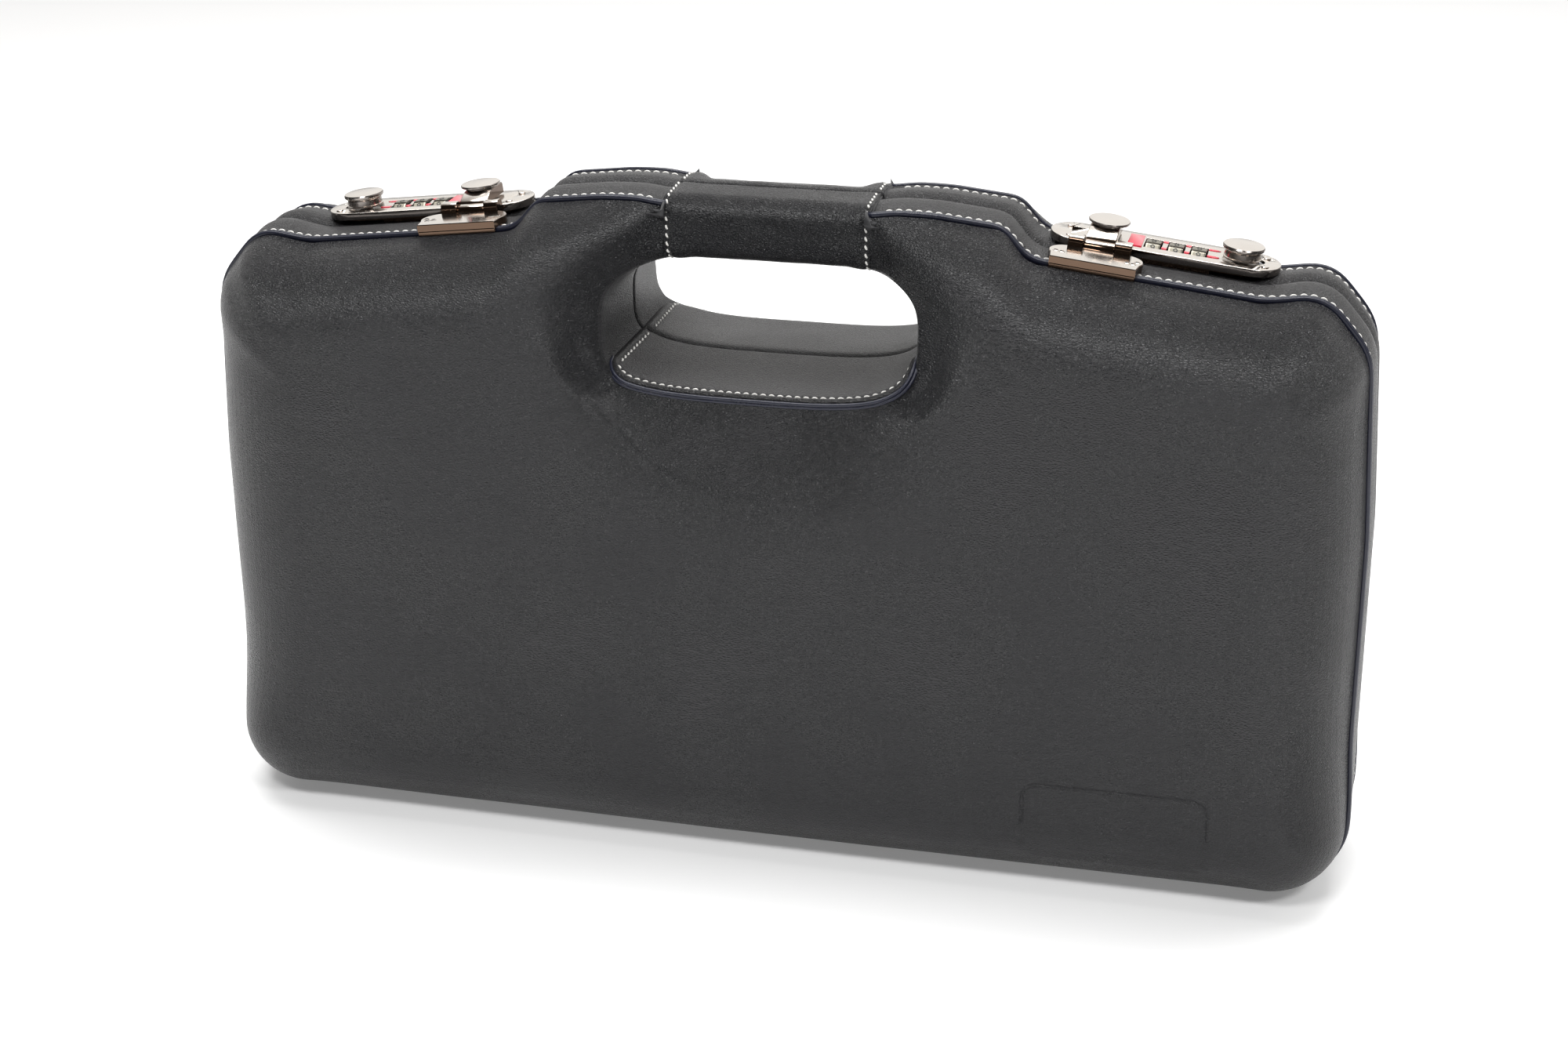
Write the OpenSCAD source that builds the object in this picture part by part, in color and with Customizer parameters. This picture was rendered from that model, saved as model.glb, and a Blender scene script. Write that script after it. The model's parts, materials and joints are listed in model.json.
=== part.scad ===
// Rigid carrying case for poker chips, standing upright on its bottom edge.
// X is the width, -Y the front (the lid side), +Y the rear, +Z up.
// The origin is below the middle of the case, on the surface it stands on.
// Both halves are one moulded tub each, with a hand hole through them; the rim above
// the hole is the carrying handle.

/* [Case] */
// Half of the overall width, at the widest place of the side walls
half_w = 202; // [190:1:220]
// Height of the outline at the crown, beside the handle
crown_z = 231.5; // [225:0.5:240]
// Distance from the parting plane to the flat outer face of each half
half_depth = 46.5; // [40:0.5:52]
// Width of the rim band of each half, parting plane to seam
band_w = 17; // [14:0.5:20]
// Thickness of the leather
leather_t = 1.2; // [0.8:0.1:1.6]
// Thickness of the moulded shell
shell_t = 2.4; // [2:0.1:3]

/* [Hand hole] */
// Half of the width of the hand hole
hole_half_w = 53.5; // [45:0.5:56]
// Half of the height of the hand hole
hole_half_h = 19.4; // [17:0.2:21]
// Height of the middle of the hand hole
hole_z = 190.6; // [189:0.2:192]
// Distance from the parting plane to the front of the handle
handle_depth = 18.5; // [16:0.5:21]

/* [Interior] */
// Diameter of a chip well, for standing chips of 39 mm
well_d = 40.6; // [40:0.2:42]
// Length of one chip well, for fifty chips
well_len = 166; // [150:1:170]
// Distance between the rows of chip wells
row_pitch = 44; // [42:0.5:46]

/* [Latches] */
// Length of the lock cover
lock_len = 76; // [74:0.5:78]
// Width of the lock cover
lock_w = 19.6; // [19:0.2:20]
// Radius of a number dial
dial_r = 6.5; // [6.3:0.1:6.6]
// Distance between the number dials
dial_pitch = 7.5; // [7.5:0.1:8]
// Radius of the round knob caps
knob_r = 6.9; // [6:0.1:7.2]

/* [Hidden] */
$fn = 48;

leather_c = [0.12, 0.12, 0.13];
band_c = [0.17, 0.17, 0.18];
welt_c = [0.08, 0.09, 0.14];
shell_c = [0.25, 0.25, 0.26];
lining_c = [0.30, 0.06, 0.09];
nickel_c = [0.80, 0.77, 0.72];
dial_c = [0.42, 0.41, 0.38];
enamel_c = [0.80, 0.12, 0.18];

parting_gap = 0.2;                      // half of the gap between the closed halves
seam_gap = 0.05;                        // gap between layers of one half
welt_w = 2;                             // width of the raised welt along Y
welt_proud = 0.6;                       // how far the welt stands out of the band
band_t = 2;                             // thickness of the padded band leather
shell_in = band_t + 0.1;                // inset of the shell below the band
lip_y = band_w + welt_w + 0.1;          // where the face leather starts
face_in = shell_in - leather_t;         // inset of the face leather at the welt

// Latch recess in the outline, and the frame that every latch piece is drawn in
recess_in = [87, crown_z - 13.5];
recess_out = [162, crown_z - 22.2];
latch_tilt = atan2(recess_in[1] - recess_out[1], recess_out[0] - recess_in[0]);
latch_x = 91.5;
latch_z = recess_in[1] - (latch_x - recess_in[0]) * tan(latch_tilt);

// Corners of the right half of the outline: [x, z, corner radius], top to bottom
corners = [
    [0, crown_z - 1.6, 0], [34.6, crown_z - 1.4, 20], [44, crown_z, 20],
    [56, crown_z - 0.2, 30], [79, crown_z - 2.6, 6],
    [recess_in[0], recess_in[1], 8], [recess_out[0], recess_out[1], 12],
    [half_w - 20, crown_z - 17.6, 14], [half_w - 3.2, crown_z - 37.6, 22],
    [half_w, 130, 150], [half_w, welt_proud, 25], [0, welt_proud, 0]
];

longest_step = 36;

function unit(v) = v / norm(v);
// Points of the arc that rounds corner b between its neighbours a and c
function rounded(a, b, c) =
    let (r = b[2], p = [b[0], b[1]],
         u = unit([a[0], a[1]] - p), v = unit([c[0], c[1]] - p),
         half = acos(max(-1, min(1, u * v))) / 2,
         reach = r / tan(half), centre = p + unit(u + v) * r / sin(half),
         start = p + u * reach - centre, turn = 180 - 2 * half,
         way = (u[0] * v[1] - u[1] * v[0]) > 0 ? -1 : 1,
         steps = max(1, round(turn / 17)))
    [for (k = [0:steps]) let (g = way * turn * k / steps)
        centre + [start[0] * cos(g) - start[1] * sin(g), start[0] * sin(g) + start[1] * cos(g)]];
// Extra points keep the straight stretches shorter than the longest step
function filled(p) = [for (i = [0:len(p) - 2])
    let (n = max(1, ceil(norm(p[i + 1] - p[i]) / longest_step)))
    for (k = [0:n - 1]) p[i] + (p[i + 1] - p[i]) * k / n];
corner_pts = [[0, corners[0][1]],
    for (i = [1:len(corners) - 2]) each rounded(corners[i - 1], corners[i], corners[i + 1]),
    [0, welt_proud]];
half_line = concat(filled(corner_pts), [[0, welt_proud]]);
half_n = len(half_line) - 1;
station_n = 2 * half_n;

// Length along the half outline up to each station
run = [for (i = 0, s = 0; i <= half_n; s = s + norm(half_line[min(i + 1, half_n)] - half_line[i]),
    i = i + 1) s];
run_all = run[half_n];

// Station i runs from the top middle down the right side and up the left side
function folded(i) = let (k = (i + station_n) % station_n) k <= half_n ? k : station_n - k;
function side_of(i) = let (k = (i + station_n) % station_n) k <= half_n ? 1 : -1;

// Direction into the case: towards the nearest point of an inner rectangle
function inward(p) =
    let (a = [min(p[0], half_w - 42), max(40, min(p[1], 165))]) unit(a - p);
// Angle on the hand hole that belongs to a station, from 90 at its top to -90
function hole_angle(k) = lookup(run[k], [[0, 90], [38, 62], [56, 47], [80, 31], [93, 22],
    [168, 4], [190, -1], [215, -5], [run_all - 300, -24], [run_all - 202, -42],
    [run_all - 100, -62], [run_all, -90]]);
// Radius of the rounding from the band into the face, and depth of the face
function edge_r(k) = lookup(run[k], [[0, 9], [36, 9], [60, 20], [85, 26], [168, 28],
    [200, 34], [240, 38], [run_all - 260, 36], [run_all - 215, 26], [run_all, 24]]);
function face_y(k) = lookup(run[k], [[0, handle_depth], [34, handle_depth + 1.5], [46, 27],
    [60, 38], [80, half_depth - 2], [93, half_depth], [run_all, half_depth]]);
// Depth of the hole's rounded edge, and radius of that edge
function hole_y(k) = lookup(hole_angle(k), [[-90, half_depth - 3.4], [-50, half_depth - 4.5],
    [-20, half_depth - 8], [10, half_depth - 11], [40, 27], [60, handle_depth + 2],
    [90, handle_depth]]);
hole_edge_r = 7;
// Radius of the hand-sized scoop around the hole
scoop_r = 61;

// Point of the hand hole at angle t, with the wall pushed out by o
function hole_pt(t, o) = [(hole_half_w + o) * sign(cos(t)) * pow(abs(cos(t)), 0.55),
    hole_z + (hole_half_h + o) * sign(sin(t)) * pow(abs(sin(t)), 0.55)];

// Surface line of one station from the welt over the face to the parting plane in the
// hole. The line lies o below the outer face of the leather.
function face_line(k, o) =
    let (p = half_line[k], n = inward(p), r = edge_r(k), d = face_y(k),
         yc = d - r, a0 = asin(max(0, min(0.99, (lip_y - yc) / r))),
         lip = p + n * (face_in + o), q = hole_pt(hole_angle(k), o),
         e = hole_y(k), er = hole_edge_r,
         top = p + n * (face_in + r * cos(a0)),
         away = unit(top - q), span = norm(top - q),
         scoop = max(0.15, min(0.9, (scoop_r - norm(q - [0, hole_z])) / max(span, 1))))
    concat(
        [[lip, lip_y]],
        [for (j = [1:4]) let (a = a0 + (90 - a0) * j / 4)
            [lip + n * ((r - o) * (cos(a0) - cos(a))), max(lip_y + 0.1 * j, yc + (r - o) * sin(a))]],
        [[q + away * max(er + 1, span * scoop), min(d, max(d - 0.4, e)) - o]],
        [for (j = [0:2]) let (b = 90 * j / 2)
            [q + away * er * (1 - sin(b)), e - er * (1 - cos(b)) - o * cos(b)]],
        [[q, parting_gap]]);

// Closed section loops are joined station by station into one solid
function place(i, q) = [side_of(i) * q[0][0], -q[1], q[0][1]];
// The diagonals of the outer and the inner layer match, so that stacked layers nest
function skin_faces(n, m, closed) = [
    for (i = [0:n - (closed ? 1 : 2)]) for (j = [0:m - 1])
        let (a = i * m + j, b = i * m + (j + 1) % m,
             c = ((i + 1) % n) * m + (j + 1) % m, d = ((i + 1) % n) * m + j)
        each (2 * j < m ? [[a, c, b], [a, d, c]] : [[a, d, b], [b, d, c]])];
module ring_solid(loop_list) {
    m = len(loop_list[0]);
    polyhedron([for (l = loop_list) each l], skin_faces(len(loop_list), m, true), convexity = 10);
}
// An open run of layers: inner and outer lines of equal length, closed at both ends
module strip_solid(loop_list) {
    n = len(loop_list);
    m = len(loop_list[0]);
    h = m / 2;
    last = (n - 1) * m;
    caps = [for (j = [0:h - 2]) each [
        [j, j + 1, m - 1 - j], [m - 1 - j, j + 1, m - 2 - j],
        [last + j + 1, last + j, last + m - 1 - j],
        [last + j + 1, last + m - 1 - j, last + m - 2 - j]]];
    polyhedron([for (l = loop_list) each l], concat(skin_faces(n, m, false), caps), convexity = 10);
}
function turned(l) = [for (i = [len(l) - 1:-1:0]) l[i]];

function leather_loop(i) = let (k = folded(i))
    [for (q = concat(face_line(k, 0), turned(face_line(k, leather_t - seam_gap)))) place(i, q)];
// The bottom edges at the parting plane are cut back around the hinge axis
hinge_z = 2.1;
knuckle_r = 2;
relief_r = 5;
function shell_start(k) = half_line[k][1] < 8 ? relief_r + 0.4 : parting_gap;
function shell_line(k, o, inset) = let (p = half_line[k], n = inward(p))
    concat([[p + n * inset, shell_start(k)]], face_line(k, o));
function shell_loop(i) = let (k = folded(i))
    [for (q = concat(shell_line(k, leather_t, shell_in),
        turned(shell_line(k, leather_t + shell_t, shell_in + shell_t)))) place(i, q)];

module shell_half() ring_solid([for (i = [0:station_n - 1]) shell_loop(i)]);
module leather_half() ring_solid([for (i = [0:station_n - 1]) leather_loop(i)]);

// Outline of the whole case, moved into the case by d
function outline(d) = [for (i = [0:station_n - 1]) let (p = half_line[folded(i)])
    [side_of(i) * (p + inward(p) * d)[0], (p + inward(p) * d)[1]]];
// Flat ring that follows the outline, from y0 to y1 towards the front
module outline_ring(y0, y1, outer, inner) {
    translate([0, -y0, 0]) rotate([90, 0, 0]) linear_extrude(y1 - y0) difference() {
        polygon(outline(outer));
        polygon(outline(inner));
    }
}

// Last station of the handle wrap and first station of the hole floor
handle_half = 37;
handle_k = max([for (k = [0:half_n])
    if (half_line[k][0] <= handle_half && half_line[k][1] > 200) k]);
floor_k = min([for (k = [0:half_n]) if (hole_angle(k) <= -18) k]);

module rim_band() {
    difference() {
        outline_ring(parting_gap, band_w - seam_gap, 0, band_t);
        translate([-half_w, 0, hinge_z]) rotate([0, 90, 0]) cylinder(r = relief_r, h = 2 * half_w);
    }
}
module welt_ring() {
    cut_x = half_line[handle_k][0] + 0.3;
    difference() {
        outline_ring(band_w, band_w + welt_w, -welt_proud, band_t);
        translate([-cut_x, -band_w - welt_w - 1, 220]) cube([2 * cut_x, welt_w + 2, 20]);
    }
}
function wrap_line(k, d) = let (p = half_line[k], n = inward(p))
    concat([[p - n * d, parting_gap], [p - n * d, band_w + 0.1]], face_line(k, -d));
module handle_wrap() {
    strip_solid([for (i = [-handle_k:handle_k]) let (k = folded(i))
        [for (q = concat(wrap_line(k, leather_t), turned(wrap_line(k, seam_gap)))) place(i, q)]]);
}
module hole_floor() {
    strip_solid([for (i = [floor_k:station_n - floor_k])
        let (k = folded(i), t = hole_angle(k), y1 = hole_y(k) - hole_edge_r + 1,
             a = hole_pt(t, -leather_t), b = hole_pt(t, -seam_gap))
        [for (q = [[a, y1], [a, parting_gap], [b, parting_gap], [b, y1]]) place(i, q)]]);
}

// Padded tray: a board with divider bars on it, which make box-shaped wells. The wells of
// the two halves meet at the parting plane and hold rows of standing chips between them.
// On each side of the hand hole a deeper walled box holds two decks of cards.
tray_bottom = 9;
tray_top = 149.2;
tray_half_w = 189;
tray_face = 0.6;
board_y = well_d / 2 + 0.9;
board_t = 2.8;
row_z = [for (i = [0:2]) 33.5 + i * row_pitch];
row_edges = [tray_bottom, for (z = row_z) each [z - well_d / 2, z + well_d / 2], tray_top];
well_gap = 8;
end_x = well_gap / 2 + well_len;
card_well = [94, 40, 33];
card_x = 76;
card_z = 151;
card_end = card_x + card_well[0];
card_top = card_z + card_well[1];
card_side = 5;
module tray_outline() {
    right = [[0, tray_bottom, 0], [tray_half_w, tray_bottom, 20],
        [tray_half_w, tray_top, 12], [0, tray_top, 0]];
    line = concat([[0, tray_bottom]], rounded(right[0], right[1], right[2]),
        rounded(right[1], right[2], right[3]), [[0, tray_top]]);
    polygon(concat(line, [for (i = [len(line) - 2:-1:1]) [-line[i][0], line[i][1]]]));
}
// Upright bar on one side of the case, from x0 to x1, z0 to z1 and depth y0 to y1
module tray_bar(side, x0, x1, z0, z1, y0, y1)
    translate([side > 0 ? x0 : -x1, -y1, z0]) cube([x1 - x0, y1 - y0, z1 - z0]);
module tray_board() {
    translate([0, -board_y, 0]) rotate([90, 0, 0]) linear_extrude(board_t) tray_outline();
    for (s = [-1, 1])
        tray_bar(s, card_x - card_side, card_end + card_side, tray_top + 0.1, card_top + 3.5,
            card_well[2], card_well[2] + 2.4);
}
module tray_dividers() {
    deep = board_y - seam_gap;
    tray_bar(1, -well_gap / 2, well_gap / 2, tray_bottom, tray_top, tray_face, deep);
    for (s = [-1, 1]) intersection() {
        translate([0, -tray_face, 0]) rotate([90, 0, 0]) linear_extrude(deep - tray_face)
            tray_outline();
        tray_bar(s, end_x, half_w, 0, tray_top + 10, 0, deep + 1);
    }
    for (s = [-1, 1], i = [0:2:6])
        tray_bar(s, well_gap / 2 + seam_gap, end_x - seam_gap, row_edges[i], row_edges[i + 1],
            tray_face, deep);
    for (s = [-1, 1]) card_walls(s, card_well[2] - seam_gap);
}
module card_walls(side, deep) {
    tray_bar(side, card_x - card_side, card_x, tray_top + 0.1, card_top + 3.5, tray_face, deep);
    tray_bar(side, card_end, card_end + card_side, tray_top + 0.1, card_top + 3.5, tray_face, deep);
    for (z = [[tray_top + 0.1, card_z], [card_top, card_top + 3.5]])
        tray_bar(side, card_x + seam_gap, card_end - seam_gap, z[0], z[1], tray_face, deep);
}

// Hinges in the bottom edge. Five knuckles each: three on the rear leaf, two on the front
hinge_x = 110;
hinge_len = 45;
hinge_pin_r = 0.9;
pin_play = 0.05;
leaf_z = welt_proud + shell_in + shell_t + 0.1;
leaf_t = 1.2;
leaf_y = 16;
screw_x = [-16, 0, 16];
screw_r = 1.5;
module hinge_knuckles(first) {
    step = hinge_len / 5;
    for (i = [first:2:4]) translate([i * step + 0.15 - hinge_len / 2, 0, 0]) {
        translate([0, 0, hinge_z]) rotate([0, 90, 0]) cylinder(r = knuckle_r, h = step - 0.3);
        translate([0, 0.4, hinge_z]) cube([step - 0.3, 1.4, leaf_z - hinge_z + leaf_t]);
    }
}
module hinge_leaf(side, first) {
    color(nickel_c) translate([side * hinge_x, 0, 0]) difference() {
        union() {
            hinge_knuckles(first);
            translate([-hinge_len / 2, 0.4, leaf_z]) cube([hinge_len, leaf_y, leaf_t]);
        }
        translate([-hinge_len, 0, hinge_z]) rotate([0, 90, 0])
            cylinder(r = hinge_pin_r + pin_play, h = 2 * hinge_len);
        for (x = screw_x) translate([x, 10, leaf_z - 1]) cylinder(r = screw_r + pin_play, h = 4);
    }
}
module hinge_pin(side) {
    color(nickel_c) translate([side * hinge_x - hinge_len / 2, 0, hinge_z]) rotate([0, 90, 0])
        cylinder(r = hinge_pin_r, h = hinge_len);
}
module hinge_screws() {
    color(nickel_c) for (s = [-1, 1], x = screw_x) translate([s * hinge_x + x, 10, 0]) {
        translate([0, 0, leaf_z - 1.6]) cylinder(r = screw_r, h = leaf_t + 1.7);
        translate([0, 0, leaf_z + leaf_t]) cylinder(r1 = screw_r + 1.2, r2 = screw_r + 0.4, h = 1);
    }
}

// Every latch piece is drawn in one frame: X along the recess towards the side of the
// case, Y to the rear, Z out of the recess floor
module at_latch(side) {
    mirror([side < 0 ? 1 : 0, 0, 0]) translate([latch_x, 0, latch_z])
        rotate([0, latch_tilt, 0]) children();
}
module stadium(x0, x1, y, r, z0, z1) {
    translate([x0 + r, y, z0]) cylinder(r = r, h = z1 - z0);
    translate([x1 - r, y, z0]) cylinder(r = r, h = z1 - z0);
    translate([x0 + r, y - r, z0]) cube([x1 - x0 - 2 * r, 2 * r, z1 - z0]);
}
lock_x0 = -1.5;
lock_x1 = lock_x0 + lock_len;
lock_y = 9;
base_top = 1;
cover_top = 3.6;
cover_t = 1;
dial_w = 5;
dial_z = cover_top + 1 - dial_r;
dial_x = [for (i = [0:2]) 32.6 + i * dial_pitch];
shaft_r = 1.2;
box_x0 = dial_x[0] - 4.6;
box_x1 = dial_x[2] + 4.6;
box_half = 7.8;
box_wall = 1.1;
box_bottom = dial_z - dial_r - 1.4;
knob_x = 61.6;
knob_travel = 4.5;
slot_r = 2.6;
// Hasp: barrel axis, knuckle ends and the lug that drops into the cover's notch
barrel_y = -3.4;
barrel_z = 2.6;
barrel_r = 2.2;
hasp_x0 = 11.5;
hasp_x1 = 21.3;
hasp_z = cover_top + 0.2;
hasp_t = 1.2;
disc_y = lock_y;
notch_x0 = 13.2;
notch_x1 = 20.8;
bracket_x0 = 1;
bracket_x1 = 32;
bracket_top = 3;

// Rivets of the lock cover, two at each round end
lock_rivet_at = [[4.5, 14], [5.5, 3.6], [69.5, 4.2], [69.5, 14]];
rivet_r = 0.8;
rivet_head = 0.25;
grip_n = 10;

module dial_box_space(grow) {
    translate([box_x0 - grow, lock_y - box_half - grow, box_bottom - grow])
        cube([box_x1 - box_x0 + 2 * grow, 2 * box_half + 2 * grow, 30]);
}
module lock_base(side) {
    color(nickel_c) at_latch(side) difference() {
        union() {
            stadium(lock_x0 + 3.5, lock_x1 - 4.5, lock_y, box_half, 0.1, base_top);
            translate([box_x0, lock_y - box_half, box_bottom])
                cube([box_x1 - box_x0, 2 * box_half, base_top - box_bottom]);
        }
        translate([box_x0 + box_wall, lock_y - box_half + box_wall, box_bottom + box_wall])
            cube([box_x1 - box_x0 - 2 * box_wall, 2 * (box_half - box_wall), 30]);
        translate([box_x0 - 1, lock_y, dial_z]) rotate([0, 90, 0])
            cylinder(r = shaft_r + 0.02, h = box_x1 - box_x0 + 2);
    }
}
module lock_cover(side) {
    color(nickel_c) at_latch(side) difference() {
        stadium(lock_x0, lock_x1, lock_y, lock_w / 2, base_top + 0.02, cover_top);
        stadium(lock_x0 + cover_t, lock_x1 - cover_t, lock_y, lock_w / 2 - cover_t,
            0, cover_top - cover_t);
        for (x = dial_x) translate([x - dial_w / 2 - 0.3, lock_y - 5, 0])
            cube([dial_w + 0.6, 10, 10]);
        stadium(knob_x - slot_r - 0.4, knob_x + knob_travel + slot_r + 0.4, lock_y, slot_r, 0, 10);
        translate([notch_x0, -5, 0]) cube([notch_x1 - notch_x0, 17.4, 10]);
        for (p = lock_rivet_at) translate([p[0], p[1], 0]) cylinder(r = rivet_r + 0.05, h = 10);
    }
}
module lock_rivets() {
    color(nickel_c) for (s = [-1, 1]) at_latch(s) for (p = lock_rivet_at) translate([p[0], p[1], 0]) {
        translate([0, 0, base_top]) cylinder(r = rivet_r, h = cover_top - base_top + 0.1);
        translate([0, 0, cover_top]) cylinder(r1 = 1.3, r2 = 1, h = rivet_head);
    }
}
module enamel(side) {
    color(enamel_c) at_latch(side) {
        translate([24.4, lock_y - 6, cover_top]) cube([4.8, 12, 0.4]);
        for (y = [lock_y - 3.6, lock_y + 3.6]) {
            for (i = [0:1]) translate([dial_x[i] + 2.9, y - 0.7, cover_top])
                cube([dial_pitch - 5.8, 1.4, 0.2]);
            translate([dial_x[2] + 2.9, y, cover_top]) linear_extrude(0.2)
                polygon([[0, -0.7], [2.6, -0.7], [4, 0], [2.6, 0.7], [0, 0.7]]);
        }
    }
}
module dial_shaft(side) {
    color(nickel_c) at_latch(side) translate([box_x0 + 0.2, lock_y, dial_z]) rotate([0, 90, 0])
        cylinder(r = shaft_r, h = box_x1 - box_x0 - 0.4);
}
module dial(side, i) {
    color(dial_c) at_latch(side) translate([dial_x[i], lock_y, dial_z]) rotate([0, 90, 0]) difference() {
        cylinder(r = dial_r, h = dial_w, center = true);
        cylinder(r = shaft_r + pin_play, h = dial_w + 1, center = true);
        for (a = [0:grip_n - 1]) rotate([0, 0, (a + 0.5) * 360 / grip_n]) translate([dial_r, 0, 0])
            cylinder(r = 0.45, h = dial_w + 1, center = true, $fn = 16);
    }
}
// Turned knob: a waisted drum under a round cap
module turned_knob(z0, z1, drum) {
    rotate_extrude() polygon([[0, z0], [drum + 0.6, z0], [drum, z0 + 0.5], [drum - 0.3, z1 - 1.7],
        [knob_r - 0.2, z1 - 1.3], [knob_r, z1 - 0.9], [knob_r - 0.1, z1 - 0.4],
        [knob_r - 0.7, z1 - 0.1], [0, z1]]);
}
module knob(side) {
    color(nickel_c) at_latch(side) translate([knob_x, lock_y, 0]) {
        turned_knob(cover_top + rivet_head + 0.15, 8, 5.6);
        translate([0, 0, base_top + 1.3]) cylinder(r = slot_r - 0.25, h = cover_top - base_top);
    }
}
module bolt(side) {
    z0 = base_top + 0.15;
    t = 1.15;
    color(nickel_c) at_latch(side) difference() {
        union() {
            translate([knob_x - 6, lock_y - 4, z0]) cube([11, 8, t]);
            translate([21.4, lock_y + 6, z0]) cube([knob_x - 27.2, 2, t]);
            translate([knob_x - 6, lock_y + 2, z0]) cube([3, 6, t]);
            translate([21.4, lock_y + 3.6, z0]) cube([2, 4, t]);
            translate([knob_x - 1, lock_y - 6.4, z0]) cube([1.4, 3, t]);
        }
        translate([knob_x, lock_y, 0]) cylinder(r = 1, h = z0 + 0.8);
    }
}
module bolt_spring(side) {
    turns = 8;
    pitch = (knob_x - 55) / turns;
    color(nickel_c) at_latch(side) for (i = [0:turns - 1])
        translate([53.6 + i * pitch, lock_y - 5.6, base_top + 0.85]) rotate([0, 90, 0])
            rotate_extrude() translate([0.5, 0]) circle(r = 0.18, $fn = 16);
}

bracket_hole_at = [[3.6, -13.6], [5.6, -14], [26.8, -14.2], [28.8, -14.8], [30, -12.4]];
module hasp_bracket(side) {
    lobe_r = 6.1;
    color(nickel_c) at_latch(side) difference() {
        union() {
            translate([bracket_x0 + lobe_r, -12, 1]) cylinder(r = lobe_r, h = bracket_top - 1);
            translate([bracket_x1 - lobe_r, -12, 1]) cylinder(r = lobe_r, h = bracket_top - 1);
            translate([bracket_x0 + lobe_r, -20.3, 1])
                cube([bracket_x1 - bracket_x0 - 2 * lobe_r, 13.9, bracket_top - 1]);
            translate([bracket_x0 + 3, -15.8, 0.1])
                cube([bracket_x1 - bracket_x0 - 6, 8, bracket_top - 1]);
            translate([bracket_x0 + 1.5, -20.3, -0.8])
                cube([bracket_x1 - bracket_x0 - 3, 0.9, bracket_top + 0.8]);
            for (x = [hasp_x0 - 4.6, hasp_x1 + 0.2]) {
                translate([x, barrel_y, barrel_z]) rotate([0, 90, 0]) cylinder(r = barrel_r, h = 4.4);
                translate([x, -9, 1.2]) cube([4.4, 9 + barrel_y, bracket_top - 1.2]);
            }
        }
        translate([0, barrel_y, barrel_z]) rotate([0, 90, 0]) cylinder(r = 1.02, h = 40);
        for (p = bracket_hole_at) translate([p[0], p[1], -1]) cylinder(r = 0.7, h = 10);
        translate([hasp_x0 - 0.2, -6, 0]) cube([hasp_x1 - hasp_x0 + 0.4, 10, 10]);
    }
}
module bracket_rivets() {
    color(nickel_c) for (s = [-1, 1]) at_latch(s) for (p = bracket_hole_at)
        translate([p[0], p[1], 0.9]) cylinder(r = 0.65, h = bracket_top - 1.3);
}
module hasp_pin(side) {
    color(nickel_c) at_latch(side) translate([hasp_x0 - 4.6, barrel_y, barrel_z]) rotate([0, 90, 0])
        cylinder(r = 1, h = hasp_x1 - hasp_x0 + 9.2);
}
module hasp(side) {
    color(nickel_c) at_latch(side) difference() {
        union() {
            translate([hasp_x0, barrel_y, barrel_z]) rotate([0, 90, 0])
                cylinder(r = barrel_r, h = hasp_x1 - hasp_x0);
            translate([hasp_x0, barrel_y, hasp_z]) cube([hasp_x1 - hasp_x0, 18.6, hasp_t]);
            translate([notch_x0 + 0.6, 6.8, base_top + 0.3])
                cube([notch_x1 - notch_x0 - 1.2, 5.2, hasp_z - base_top]);
        }
        translate([0, barrel_y, barrel_z]) rotate([0, 90, 0]) cylinder(r = 1 + pin_play, h = 40);
    }
}
module hasp_disc(side) {
    color(nickel_c) at_latch(side) translate([(hasp_x0 + hasp_x1) / 2 + 0.8, disc_y, 0])
        turned_knob(hasp_z + hasp_t, 8.2, 5.2);
}

// The grip section is moulded apart from the pan and meets it along three flat faces
grip_x = 66;
grip_z = 120;
block_d = half_depth + 5;
module pan_half() {
    difference() {
        shell_half();
        translate([-grip_x, -block_d, grip_z]) cube([2 * grip_x, block_d, 150]);
    }
}
module grip_half() {
    difference() {
        shell_half();
        for (x = [-half_w - 10, grip_x - seam_gap])
            translate([x, -block_d, -10]) cube([half_w + 10 - grip_x + seam_gap, block_d, 260]);
        translate([-grip_x - 1, -block_d, -10]) cube([2 * grip_x + 2, block_d, grip_z + 10 + seam_gap]);
    }
}
module rear_shell() {
    color(shell_c) difference() {
        mirror([0, 1, 0]) pan_half();
        for (s = [-1, 1]) at_latch(s) dial_box_space(0.3);
    }
}
module front_shell() { color(shell_c) pan_half(); }
module rear_grip() { color(shell_c) mirror([0, 1, 0]) grip_half(); }
module front_grip() { color(shell_c) grip_half(); }
module rear_leather() { color(leather_c) mirror([0, 1, 0]) leather_half(); }
module front_leather() { color(leather_c) leather_half(); }
module rear_rim_band() {
    color(band_c) difference() {
        mirror([0, 1, 0]) rim_band();
        for (s = [-1, 1]) at_latch(s) dial_box_space(0.2);
    }
}
module front_rim_band() { color(band_c) rim_band(); }
module rear_welt() { color(welt_c) mirror([0, 1, 0]) welt_ring(); }
module front_welt() { color(welt_c) welt_ring(); }
module rear_handle_wrap() { color(leather_c) mirror([0, 1, 0]) handle_wrap(); }
module front_handle_wrap() { color(leather_c) handle_wrap(); }
module rear_hole_floor() { color(band_c) mirror([0, 1, 0]) hole_floor(); }
module front_hole_floor() { color(band_c) hole_floor(); }
module chip_tray() { color(lining_c) mirror([0, 1, 0]) tray_board(); }
module lid_pad() { color(lining_c) tray_board(); }
module chip_tray_dividers() { color(lining_c) mirror([0, 1, 0]) tray_dividers(); }
module lid_pad_dividers() { color(lining_c) tray_dividers(); }
module front_leaf(side) mirror([0, 1, 0]) hinge_leaf(side, 1);

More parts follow.
